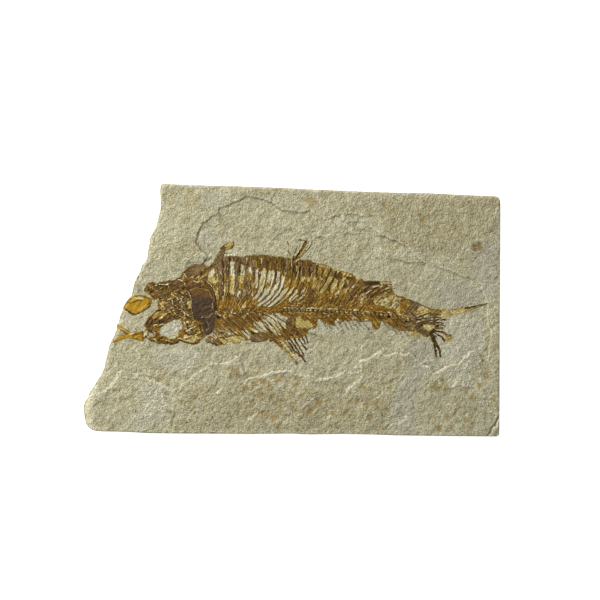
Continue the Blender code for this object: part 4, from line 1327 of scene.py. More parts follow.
# %% Roof of the skull
ROOF_MARKS = [
    ("russet", 0, AREA,
     [(185, 280), (196, 279), (205, 280.6), (208, 285), (206, 288.5), (199, 288), (192, 288.5), (184, 289)]),
    ("mauve", 0.02, AREA,
     [(183, 274), (185, 270), (189, 267), (193, 264.8), (200, 264.2), (204.5, 265), (205, 268),
      (200, 272.4), (195, 275.4), (189, 276.6), (184, 275)],
     [(204, 282), (207, 282), (211, 286), (214.4, 291), (211.4, 290.4), (207, 286.6)]),
    ("walnut", 0.01, AREA,
     [(168, 283), (174, 281), (178, 279.4), (183, 281.4), (186, 286), (184, 290), (180, 292), (176, 290),
      (168, 290.4), (163, 289)],
     [(184, 272.6), (187, 269), (192, 266), (191, 268.6), (187, 272), (184.6, 275.6)],
     [(157, 284.6), (164, 285.6), (170, 284), (172, 289), (166, 293), (157, 292), (153, 289)]),
    ("amber", 0.01, AREA,
     [(145.5, 290), (146.5, 285.5), (150, 283.4), (152, 286), (150, 289), (149, 292.5), (146.5, 292.5)]),
    *crushed(
        [(163, 289), (168, 283), (178, 280), (186, 286), (206, 283), (204, 288), (184, 291)], 60, 28,
        [("umber", 0.02, 0.3), ("walnut", 0.02, 0.5), ("russet", 0.02, 0.6), ("mauve", 0.02, 0.4),
         ("umber", 0.02, 0.5)], 15, 20,
    ),
    *crushed(
        [(145, 286), (150, 282.6), (158, 283), (166, 287), (162, 292), (150, 293)], 60, 16, CHIPS, 10, 50,
    ),
    ("umber", 0.01, 0.6, [(146, 288), (147, 284.6), (150, 282.6), (153, 284), (155, 285)],
     [(157, 282.6), (163, 282.6), (168, 281.6)], [(168, 282), (173, 281.4), (177, 278.8), (180, 277.2)],
     [(148, 286), (148.6, 290), (151, 292.4)], [(151, 295), (154, 297.6), (157, 297)],
     [(158, 285.6), (164, 286), (170, 285.2)]),
    ("chalk", -0.01, 0.5, [(159.6, 284), (164, 284.6), (168, 284)], [(178, 279.6), (182.6, 280.2)]),
    ("chalk", -0.01, 0.45, [(181.4, 281), (183.6, 282.4), (184.2, 284.4)], [(168.6, 285.6), (168.4, 286.6)]),
    ("honey", 0, 0.9, [(183, 277), (183.4, 276)], [(191, 278), (195, 277.4), (201, 276.6)]),
    ("chalk", 0, 0.7, [(196, 276.6), (199, 277)], [(184.6, 274.6), (186.4, 276.6)],
     [(197.6, 273.6), (198.4, 274.4)]),
    ("honey", 0, 0.5, [(194, 281.6), (199.6, 281.4)], [(202, 271), (204, 269)],
     [(203, 277), (206.4, 274.4)]),
    ("umber", 0, 0.9, [(197.2, 279.2), (198, 279.4)]),
    ("honey", 0.02, 0.2, [(201.6, 280.6), (204.6, 284), (208, 287.6)], [(208, 281.8), (211, 285.4)]),
    *crushed([(186, 276), (206, 270), (208, 280), (190, 281)], 55, 17, CHIPS, 10, 50),
]
print(len(ROOF_MARKS), "marks on the roof")

# %% Cheek
CHEEK_MARKS = [
    ("walnut", 0, AREA,
     [(153, 292), (166, 293), (172, 296), (168, 301), (170, 309), (163, 309), (158, 305), (155, 299)],
     [(172, 290), (188, 290), (190, 297), (191, 301), (186, 301), (178, 297), (172, 296)],
     [(176, 310), (190, 309), (193, 318), (190, 321), (183, 319), (176, 317)]),
    ("mauve", 0, AREA, [(166, 303), (172, 303), (176, 308), (172, 311), (165, 309)],
     [(176, 300), (181, 299.5), (185, 304), (184, 308.4), (178.6, 308.8), (174.6, 303)]),
    ("amber", 0.01, AREA, [(159, 300), (164, 299.6), (167, 302), (163, 306.6), (159, 305)]),
    ("honey", 0, AREA, [(170.6, 310), (174.6, 309.4), (175.6, 313.4), (173, 316), (170.6, 313)],
     [(162, 305.6), (166, 308), (163.6, 310.6), (160, 309)]),
    *crushed(
        [(155, 292), (188, 291), (192, 306), (194, 318), (184, 322), (176, 316), (160, 310), (157, 302)],
        190, 14, CHIPS, -38, 34,
    ),
    ("umber", 0.03, 0.55,
     [(176, 297.4), (173.5, 300), (172.4, 303), (174.6, 307), (178, 309.6), (181, 311)],
     [(178, 300.6), (181, 301.6), (183.6, 306)], [(184.6, 304), (187, 308), (190.4, 311)],
     [(171, 311), (175.6, 316), (180, 318)], [(185, 312), (187, 316.6), (190, 320)]),
    ("umber", 0.02, 0.4, [(175, 303), (178, 306.6)], [(165.6, 302), (169, 300)],
     [(180, 293), (185, 295.6), (190, 297)]),
    ("chalk", 0.01, 0.42, [(168.6, 299.8), (171.4, 298)], [(172.6, 300.6), (172.9, 304.6)],
     [(181, 301), (184, 304.6)], [(181.6, 311.4), (185, 313), (189, 316)]),
    ("honey", 0.02, 0.5, [(171, 293.6), (175, 296), (178.6, 299)], [(182, 293), (186, 291.6)],
     [(158, 299), (157.6, 306)]),
    ("honey", 0.03, AREA, [(187.4, 301), (190.6, 301.4), (191.2, 306.6), (189.4, 307.6), (187.6, 304)]),
    ("chalk", 0.02, 0.38, [(189.4, 292.4), (191.2, 298), (192, 304), (192.4, 311), (194.6, 317.6)]),
]
print(len(CHEEK_MARKS), "marks on the cheek")

# %% Mouth
MOUTH_MARKS = [
    ("russet", 0.04, AREA,
     [(145.6, 324), (147, 319.6), (150, 316.6), (152.4, 318.5), (152.6, 322.5), (150.5, 327),
      (147.5, 328.5)]),
    ("umber", 0.02, 0.6, [(145.8, 325), (147.6, 320), (150.6, 317)],
     [(148.6, 327.6), (151.6, 323.6), (152.6, 319.6)]),
    ("amber", 0.03, AREA,
     [(152, 317.4), (154, 313.6), (158, 311), (161.4, 311.6), (162, 315), (158, 318.6), (154, 319.4)]),
    ("walnut", 0.02, AREA, [(153, 319), (159, 318.4), (159.6, 324), (155, 326), (152.6, 324)]),
    ("russet", 0.03, AREA,
     [(163.6, 320), (166.4, 315.4), (170.4, 313.4), (172.6, 316), (170, 319), (165, 321)]),
    ("umber", 0.03, AREA, [(157.6, 322), (161, 319.4), (164, 320.6), (163.4, 322.8), (159.4, 324)]),
    ("umber", 0.02, 0.55, [(150.4, 316.4), (154, 313), (157.6, 310.4), (161.6, 310.6)],
     [(163, 319.8), (166.4, 315.4), (170, 313.2), (172, 315), (174.6, 318), (178, 318.6)],
     [(161.6, 324), (167, 321.8), (172, 320), (174.4, 318.8)], [(154.6, 320), (157, 317.6), (159, 316)]),
    ("honey", 0.02, 0.7, [(160.4, 318.2), (163, 315.2), (166, 313.2)], [(154.4, 315.4), (158, 313)],
     [(154.6, 325), (158, 324.4)]),
    ("chalk", 0.02, 0.45, [(161, 317.2), (164, 314.6)], [(155, 324.8), (157, 324.6)],
     [(160, 324.6), (163, 323.8)]),
    ("amber", 0.02, 0.8, [(151, 328.6), (155, 326.6), (159.6, 325.2)], [(167, 317.6), (168.4, 316.4)]),
]
print(len(MOUTH_MARKS), "marks round the mouth")

# %% Openings with bare stone
SOCKET_MARKS = [
    ("gap", -0.42, AREA,
     [(160.6, 328), (164, 325), (170, 321.6), (174, 319.8), (178, 319.4), (180.4, 321), (181.8, 325),
      (181, 328.6), (178.6, 331), (178, 335), (174.4, 337.2), (168, 336.8), (161.4, 334.8), (159.6, 331.6)]),
    ("gap", -0.3, AREA,
     [(149, 332.4), (151.6, 331.2), (154.8, 332.6), (155, 335.6), (152, 336.8), (149, 335.4)]),
    ("honey", 0.3, 0.6, [(170, 335.4), (173, 334), (176, 335)], [(177.4, 329), (178.6, 330.4)]),
    ("umber", 0.34, 0.6, [(150.4, 332.2), (152.8, 333), (153.6, 335)],
     [(146, 329.8), (151, 330), (156, 330.8)]),
    ("chalk", 0.04, 0.6, [(147.6, 331), (145.4, 334), (144.4, 336.4)], [(147, 334), (149, 337.6)]),
    ("walnut", 0.04, AREA, [(157, 331), (158.6, 332), (159.6, 336), (163, 338), (156, 338), (156.6, 335)]),
    ("amber", 0.02, AREA, [(152, 338), (158, 338.6), (163, 339.4), (160, 342), (154, 341)]),
]
print(len(SOCKET_MARKS), "marks round the openings")

# %% Lower jaw bar
JAW_BAR_MARKS = [
    *crushed(
        [(147, 337), (160, 339.5), (176, 339.5), (184, 341), (172, 344.5), (150, 341)], 60, 18, CHIPS, -8,
        24,
    ),
    ("honey", 0.02, 0.8, [(166.6, 340.2), (170.6, 340.6)], [(170, 338), (175, 338.4)]),
    ("umber", 0.01, 0.6, [(147, 339), (151, 340.8), (155, 342.8), (163, 343.6), (172, 344), (176, 343)],
     [(157, 339.4), (161, 341), (165.4, 340.4)],
     [(178, 338.8), (183, 341.6), (190, 343.4), (196, 343.2), (199, 341.6)]),
    ("mauve", 0.01, 0.7, [(172, 341), (175, 342)], [(163, 341.6), (167, 342.4)]),
    ("chalk", 0.01, 0.5, [(178.4, 338.2), (182.4, 339.2)], [(160, 343.9), (166, 344.6)]),
    ("honey", 0.02, AREA, [(184, 334.6), (190, 334), (197, 335), (198, 339), (192, 341), (185, 339.4)]),
    ("mauve", 0.02, AREA,
     [(185, 324), (189, 324), (193, 329), (198, 330), (197, 334), (189, 333), (184, 331)]),
    *crushed(
        [(183, 320), (198, 321), (203, 326), (203, 338), (196, 343), (184, 341), (181, 330)], 130, 15,
        PALE_CHIPS, -20, 45,
    ),
    ("umber", 0.01, 0.5, [(187, 334), (192, 335), (197, 333)], [(186, 325), (189.6, 325.4)],
     [(191, 329.6), (194, 332)], [(199, 324.6), (201.4, 330), (202, 337)]),
    ("chalk", 0.01, 0.6, [(187, 322.4), (189, 323)], [(184.4, 322), (186, 325)],
     [(190.4, 328.8), (192, 328.2)], [(184, 337.8), (186, 336.6), (188, 336.4)],
     [(195.4, 335.6), (195.8, 338.6)], [(181, 327.6), (181.4, 329)], [(194.4, 326.4), (195.6, 327.4)]),
    ("honey", 0.01, 0.6, [(186.6, 328.6), (188, 331.4)], [(184, 340), (191, 341.8), (197, 341)]),
]
print(len(JAW_BAR_MARKS), "marks on the lower jaw bar")

# %% Build the skull
SKULL_CELL = 0.3
SKULL_MARKS = ROOF_MARKS + CHEEK_MARKS + MOUTH_MARKS + SOCKET_MARKS + JAW_BAR_MARKS
show(make_bone("skull_bones", SKULL, SKULL_MARKS, SKULL_CELL, seed=130), "skull", brown_bone)

# %% [markdown]
# ## The gill cover
# This is one big smooth plate, nearly black below and reddish at its top, with a bright rim along its top
# that is a painted highlight. Faint arcs on it are growth lines.
# %% Gill cover
GILL_CELL = 0.25
GILL_COVER = [
    (189.8, 290.4), (192, 289), (195, 288), (201, 287.8), (206.5, 289), (210, 291.8), (212.3, 297),
    (212.7, 303), (211.3, 309.6), (214, 312), (214, 318.8), (212.9, 327.3), (209.4, 331.6), (206.4, 333.8),
    (204.6, 331.2), (203.4, 325.7), (204.4, 322), (200.4, 320.6), (195.4, 318.6), (193, 311.5), (193, 303),
    (191.6, 295.7),
]
GILL_MARKS = [
    ("russet", 0.01, AREA,
     [(190.5, 290.6), (196, 288.6), (204, 288.8), (209.8, 292), (211, 296), (208, 297), (200, 296.4),
      (193.4, 296)]),
    # A thin amber line along the upper rim: a painted highlight.
    ("amber", 0.03, 0.3,
     [(190, 290.2), (195, 288.4), (201, 288.2), (206.4, 289.4), (209.6, 292.4), (212, 297.6)]),
    ("mauve", 0, 0.5, [(206, 317.4), (209, 316.4), (212, 313.6)], [(206, 321), (209, 325), (208, 331)]),
    ("umber", 0, 0.6, [(198, 319), (203, 318.6), (207, 322)], [(205.5, 323.5), (207, 327)],
     [(210, 313), (208.6, 315)]),
    ("honey", 0.01, 0.15, [(212.6, 303), (212.2, 307.6)], [(202, 316.4), (204.4, 315)],
     [(206, 320.4), (207.4, 321.8)]),
    ("chalk", 0, 0.2, [(201.6, 317.2), (202.6, 317.6)], [(206.4, 331), (207.4, 329)]),
]
gill_mesh = make_bone(
    "gill_cover_plate", GILL_COVER, GILL_MARKS, GILL_CELL, seed=150, lift=0.14, grow=0.35, frayed=0.5,
)
show(gill_mesh, "gill_cover", dark_bone)

# %% [markdown]
# ## The trunk
# The trunk holds most of the drawing. Broad shoulder straps stand behind the head, then thin dark ribs curve
# down over a pale window, then the flank is one brown crust with slits of honey between the ribs. The
# backbone runs through it as a chain of small waisted bodies, which a loop draws.
# %% Outline of the trunk
BODY_CELL = 0.42
BODY = [
    (222.4, 258.2), (228, 256.5), (235, 256), (240, 257), (246, 256), (252, 255.2), (262, 255.4),
    (270.6, 256), (277, 256.7), (283.5, 257.6), (290.6, 258.8), (292, 262), (297, 261.5), (303.5, 260.2),
    (309.4, 260.2), (313.5, 262), (318, 264), (325, 265), (331.8, 267.3), (340.6, 270.5), (348, 272.6),
    (353, 275.5), (356, 278.5), (360, 280.8), (361.5, 286), (364, 291.8), (368.5, 297.5), (373.8, 298),
    (380.5, 295), (391.2, 292.2), (397.6, 295.5), (402.4, 296.7), (406, 298.6), (412.5, 300.8), (416.6, 303),
    (416, 310), (414, 318), (414.5, 325), (414.8, 331.6), (410, 330.4), (404, 330.5), (400, 330), (394, 327),
    (389, 324.5), (385, 321.5), (381, 321.5), (380, 326), (378, 329), (375, 328), (372, 325.5), (370, 321.5),
    (363, 321.5), (355, 320.5), (343, 321), (340, 324), (336, 320), (334, 326), (330, 324), (327, 322),
    (325, 324), (318, 319.5), (316, 327.5), (311, 328), (307, 332), (302, 335.5), (298, 336), (285, 337),
    (271, 338.5), (264, 341), (258, 342), (252, 342), (250, 340), (247, 341), (243, 340), (240, 342),
    (236, 343.5), (230, 342.5), (225, 344), (219, 345.2), (215, 344.5), (211, 342.5), (207, 342.5),
    (204.6, 341.4), (205.6, 338), (208, 335.5), (211, 332), (214.7, 327.9), (215.8, 318.9), (215.6, 311.3),
    (213.2, 309.2), (214.2, 303), (213.8, 296.6), (211.4, 291.2), (208.2, 287.8), (204.8, 285.4),
    (205.8, 281.5), (207.7, 278), (208.6, 274), (209.2, 271.4), (211.5, 270.2), (215, 267.5), (219.5, 262.6),
]
print("the trunk's outline has", len(BODY), "points")

# %% Direction of the ribs
BACKBONE_Y = 311
RIB_TOP = 266
WINDOW_START = (205, 262)
WINDOW_END = (285, 325)
WINDOW_BEND = 17
WINDOW_HEIGHT = 38
FLANK_SLANT = 0.72
BACK_SLANT = 1.1
RIB_POINTS = 5
RIB_PASSES = 6
RIB_START_SHIFT = (-1.5, 1.5)
RIB_END_SHIFT = (-5, 4)
RIB_WIDTHS = (0.7, 1.2)
RIB_GAPS = (0.6, 1.4)
SHORTEST_RIB = 3


def ribs_lean(px, py):
    """How far sideways the ribs' direction has carried them at a place of the trunk."""
    down = np.clip(py - RIB_TOP, 0, None)
    flank = ramp(px, *WINDOW_END)
    window = ramp(px, *WINDOW_START) * (1 - flank)
    above = window * WINDOW_BEND * (down / WINDOW_HEIGHT) ** 2.5 + flank * FLANK_SLANT * down
    return np.where(py < BACKBONE_Y, above, -BACK_SLANT * (py - BACKBONE_Y))


def along_ribs(px, py):
    """Fibres that follow the ribs, for the trunk."""
    return px + ribs_lean(px, py), py


def rib_line(start_x, top, bottom):
    """A run that follows the ribs' direction from a place at the belly's edge."""
    heights = np.linspace(top, bottom, RIB_POINTS)
    x = np.full(RIB_POINTS, float(start_x))
    for _ in range(RIB_PASSES):
        x = start_x - ribs_lean(x, heights)
    return list(zip(x, heights))


def hatch(first, last, step, tops, bottoms, choices, seed):
    """Many fine rib lines side by side, with uneven spacing, length and tint."""
    random = np.random.default_rng(seed)
    marks = []
    x = first
    while x < last:
        top = np.interp(x, *tops) + random.uniform(*RIB_START_SHIFT)
        bottom = np.interp(x, *bottoms) + random.uniform(*RIB_END_SHIFT)
        tint, rise, half_width = choices[random.integers(len(choices))]
        if bottom > top + SHORTEST_RIB:
            marks.append((tint, rise, half_width * random.uniform(*RIB_WIDTHS), rib_line(x, top, bottom)))
        x += step * random.uniform(*RIB_GAPS)
    return marks


print("a rib in the window ends", WINDOW_BEND, "pixels further forward than it starts")

# %% Belly
# Where the ribs start and end: x along the belly, and y at each x.
BELLY_TOP = ([222, 252, 290, 312, 340, 360], [258, 256, 259, 262, 272, 282])
BELLY_END = ([222, 252, 290, 312, 340, 360], [270, 268, 272, 280, 288, 296])
FLANK_TOP = ([262, 300, 340, 372], [296, 284, 288, 300])
FLANK_END = ([262, 300, 340, 372], [306, 308, 309, 311])
SCUTES = [
    (222.4, 258.2), (231.6, 257), (241, 256.9), (248, 256), (256.2, 256), (264, 256.3), (272, 257),
    (279, 257.8),
]
BELLY_MARKS = [
    ("walnut", 0.02, AREA,
     [(214, 266), (222, 258), (256, 256), (290, 259), (318, 264), (318, 276), (300, 276), (290, 272),
      (270, 269), (256, 267), (240, 264), (228, 268), (215, 284)]),
    *hatch(
        222, 292, 2.4, BELLY_TOP, BELLY_END,
        [("walnut", 0.03, 0.8), ("mauve", 0.03, 0.6), ("umber", 0.02, 0.3), ("ochre", 0.02, 0.7),
         ("ochre", 0.02, 0.4)], seed=5,
    ),
    *hatch(
        292, 360, 2.1, BELLY_TOP, BELLY_END,
        [("umber", 0.03, 0.35), ("walnut", 0.04, 0.7), ("mauve", 0.03, 0.7), ("ochre", 0.03, 0.5),
         ("honey", 0, 0.3)], seed=4,
    ),
    *hatch(
        290, 372, 5.2, FLANK_TOP, FLANK_END,
        [("walnut", 0.02, 0.25), ("ochre", 0.02, 0.5), ("honey", 0.01, 0.12), ("russet", 0.02, 0.5)], seed=6,
    ),
    ("umber", 0.07, 0.85, *([(x, y - 0.3), (x + 3.6, y - 1.1), (x + 7.4, y - 0.5)] for x, y in SCUTES)),
    ("honey", 0.01, 0.4, [(246.6, 257.4), (246.8, 262.6)], [(261.2, 258), (261.4, 264)],
     [(232, 258.6), (233, 262)]),
    ("amber", 0.03, 0.8, [(256, 262), (256.6, 267)], [(270, 262), (270.4, 268)], [(277, 264), (277, 269)]),
    ("mauve", 0.04, 1.4, [(243.4, 259), (244.6, 268)], [(225, 260), (225.4, 268)],
     [(287, 262), (286.4, 268)]),
]
print(len(BELLY_MARKS), "marks on the belly")

# %% Shoulder
SHOULDER_MARKS = [
    ("chalk", -0.05, AREA,
     [(230.6, 261), (234.4, 262), (235, 272), (234.8, 277), (230.6, 277), (229.8, 273)],
     [(240.6, 265), (243.8, 265), (244.2, 275), (240.2, 275)],
     [(248.4, 267), (251, 267), (251, 273), (248.6, 273)],
     [(208.6, 273), (213, 268.6), (215, 272), (212, 277), (208.6, 278)],
     [(236.8, 291.6), (240.8, 290.6), (240, 297), (236.4, 297.6)]),
    ("honey", -0.03, AREA,
     [(230.6, 276), (234.8, 275.6), (235, 284), (234.4, 294), (229.6, 294.6), (229.8, 284)],
     [(238, 276.6), (244.4, 275), (244.4, 283), (238.6, 283)],
     [(208.6, 279), (217.6, 276.6), (218, 281), (215, 284), (209, 281.6)],
     [(241.4, 306.6), (246, 300), (246, 306), (243, 308)],
     [(215, 286), (216.6, 286), (218.4, 297), (217.4, 299)]),
    ("amber", 0, AREA, [(238, 283.6), (243, 283.6), (241.6, 289), (237.4, 290)],
     [(248, 274), (252, 274), (251, 283), (248, 284)], [(223, 272), (225.6, 274), (225, 280), (222.6, 278)]),
    ("mauve", 0.07, 1.8, [(214, 267), (216.6, 272)],
     [(219.6, 259.6), (220.6, 270), (220.6, 284), (221.4, 297)],
     [(225.4, 258.6), (226.4, 266), (226.6, 276), (226.4, 286), (226, 295)],
     [(237, 264), (237.4, 272), (236.8, 282), (236, 292), (234.4, 300)],
     [(245.6, 262), (246.2, 272), (246, 280), (243.6, 288), (240, 298)],
     [(253.4, 262), (253.4, 272), (252.4, 280), (250.4, 288), (246.6, 298)]),
    ("umber", 0.03, 0.65, [(229.6, 258.6), (229.4, 265), (228.4, 272)], [(239.4, 263), (239.6, 272)],
     [(247.4, 262), (247.4, 272)], [(222.6, 262), (223, 272), (223.4, 284), (223.6, 296)]),
    ("umber", 0.03, 0.5, [(234.8, 266), (235.4, 274), (235.2, 286)], [(253.8, 268), (254, 276)],
     [(251, 281), (249.4, 291), (246, 299)], [(229, 283), (228.6, 295)]),
    ("walnut", 0.05, 0.9, [(249.6, 282), (248.6, 290), (244.6, 298)], [(218, 284), (219.4, 296)],
     [(232, 296), (238, 298)]),
    ("chalk", 0.01, 0.35, [(244, 289.6), (242.4, 294), (242.6, 299)], [(246, 290), (244, 297)],
     [(252.6, 291), (252, 296)]),
    ("honey", 0.02, 0.4, [(224.4, 282), (224.8, 290), (225, 296)], [(240.8, 300), (238, 305)],
     [(227.6, 283), (227.6, 292)]),
    *crushed(
        [(208, 262), (256, 262), (254, 300), (216, 300)], 150, 33,
        [("umber", 0.02, 0.25), ("honey", 0.01, 0.2), ("walnut", 0.02, 0.4), ("mauve", 0.02, 0.4),
         ("chalk", 0.01, 0.15)], 88, 8,
    ),
    ("umber", 0.05, 1.5,
     [(203.8, 281.6), (208.4, 285.4), (211.8, 290.4), (214.2, 296.6), (215, 303), (215.2, 309)]),
    ("mauve", 0.05, 0.6, [(207, 284), (211, 288.6), (213.6, 295), (214.4, 302)]),
    ("chalk", 0.02, 0.2, [(208.4, 282.6), (210.6, 284.6), (212, 287)], [(211.6, 297), (212.6, 300)]),
    ("honey", 0.02, 0.5, [(214.4, 289), (216.4, 296), (217.6, 300)], [(213, 305), (212, 309)]),
    ("umber", 0.04, 0.5, [(222, 258), (228, 257), (235, 256.6)],
     [(298, 261.6), (303.5, 260.7), (309.4, 260.7)]),
]
print(len(SHOULDER_MARKS), "marks on the shoulder")

# %% Window between the ribs
WINDOW_MARKS = [
    ("chalk", -0.07, AREA, [(255, 269), (258.2, 268.6), (258, 281), (256.8, 288), (255, 288), (255.4, 279)],
     [(260, 277), (262, 272), (264, 269), (266.2, 270), (265.8, 279), (262.4, 290), (259, 297), (255, 302),
      (253.4, 300), (257, 294), (259.4, 287)],
     [(267.6, 274), (270, 270.6), (273.8, 270.6), (273.6, 283), (270, 290), (266, 296.4), (259, 303),
      (256.6, 301), (262.6, 294), (266, 286)],
     [(276.2, 271), (279.8, 270.6), (279.4, 283), (277, 289), (272, 296), (266, 301.6), (259, 306.4),
      (257, 305.4), (266, 298.6), (271.4, 291.6), (275.2, 285)],
     [(281.6, 278), (284.6, 274), (284.4, 281), (280, 292), (274, 299), (266, 305.4), (262, 306.6),
      (271, 299), (276.6, 292.6), (280, 286)],
     [(285.4, 287.4), (288, 286.6), (284, 294), (278, 301), (271, 306.6), (267, 307), (275, 300),
      (281, 293)], [(291, 298), (296.8, 290), (297.4, 294), (292.6, 299), (289, 301)]),
    ("honey", -0.02, AREA,
     [(288.6, 291), (293.6, 286), (296, 287), (291.6, 293), (285, 300), (278, 305), (274, 306),
      (283, 298.6)], [(260.6, 277), (264.6, 276.5), (264.6, 284), (263, 289), (260, 288)],
     [(265, 269.6), (266.4, 272), (265.6, 275), (262.6, 274)]),
    ("amber", 0, AREA, [(266.6, 282), (271, 281.6), (270.6, 285), (268.6, 289), (265.6, 288)],
     [(283, 281), (287, 280), (288.4, 284), (286, 288), (283, 287)],
     [(292, 280), (296, 280), (296, 286), (292, 288)]),
    ("honey", -0.02, 1, [(297.2, 266.6), (297.6, 272), (297, 279)]),
    ("honey", -0.02, 0.6, [(284.6, 270), (285, 275)], [(290, 278), (289.6, 283)], [(254, 284), (252, 290)]),
    *hatch(
        286, 316, 2.4, ([281, 316], [267, 268]), ([281, 316], [282, 280]),
        [("walnut", 0.03, 0.8), ("umber", 0.03, 0.35), ("mauve", 0.03, 0.8), ("ochre", 0, 0.4)], seed=7,
    ),
]
print(len(WINDOW_MARKS), "marks in the window")

# %% Ribs
RIB_RUNS = [
    [(258.8, 269), (258.8, 279), (257.6, 287), (256, 292), (252.6, 298)],
    [(267, 269), (266.5, 276.7), (265.3, 283.8), (263, 290), (259.4, 296), (255.6, 301)],
    [(274.7, 264), (274.7, 274.4), (274, 282), (271.2, 289), (267.6, 295), (263, 300), (256, 305)],
    [(280.4, 270), (280, 280), (278.2, 287.3), (275.3, 292), (271.8, 297.3), (266.5, 302), (259, 307.4)],
    [(285, 282), (280.6, 291.6), (276.5, 297.3), (272.4, 301.4), (264, 307.6)],
    [(289.6, 286), (287.6, 291), (283.5, 297), (278.2, 302), (270, 307.6)],
    [(300, 277), (298, 284), (294, 290), (289.6, 295.6), (283, 301.6), (277, 305.4)],
    [(303.4, 283), (300.6, 289.6), (296.4, 295), (291, 300.4)],
]
RIB_MARKS = [
    *crushed(
        [(256, 270), (282, 270), (292, 292), (276, 306), (252, 302)], 50, 29,
        [("chalk", 0.01, 0.25), ("umber", 0.02, 0.15), ("honey", 0.01, 0.4), ("walnut", 0.01, 0.25)], 62, 18,
    ),
    ("walnut", 0.03, 0.55, *RIB_RUNS),
    ("umber", 0.05, 0.45, *RIB_RUNS),
    ("umber", 0.07, 0.5, [(263.6, 290), (260.6, 295.4), (257.4, 299.4)],
     [(276, 270), (276, 278), (275.4, 284)], [(270, 291.6), (266, 296.4), (260.4, 302)]),
    ("umber", 0.05, 0.6, [(285, 262), (285.4, 268)], [(290, 263), (289.6, 270)], [(294.6, 264), (294, 272)],
     [(299.4, 267), (299.8, 276)]),
    ("chalk", 0, 0.5, [(296.6, 289.6), (293.4, 294.6), (289.6, 299.4)],
     [(297.6, 294.6), (294.4, 298.4), (290.4, 301.6)], [(303.4, 289.6), (301.4, 293), (299.4, 295.4)],
     [(304.4, 294.8), (301.4, 297.6), (298.6, 299.4)]),
    ("honey", 0, 0.5, [(300, 303.6), (302.4, 301.6)], [(292, 307), (295.4, 303.6)],
     [(301, 308), (307.4, 304.6)]),
    ("amber", 0.01, AREA, [(252, 300), (255, 298.6), (258, 301.6), (256, 305), (252.6, 304)],
     [(283, 302), (287, 300.6), (286, 304), (281.4, 306)]),
]
print(len(RIB_RUNS), "ribs drawn by hand")

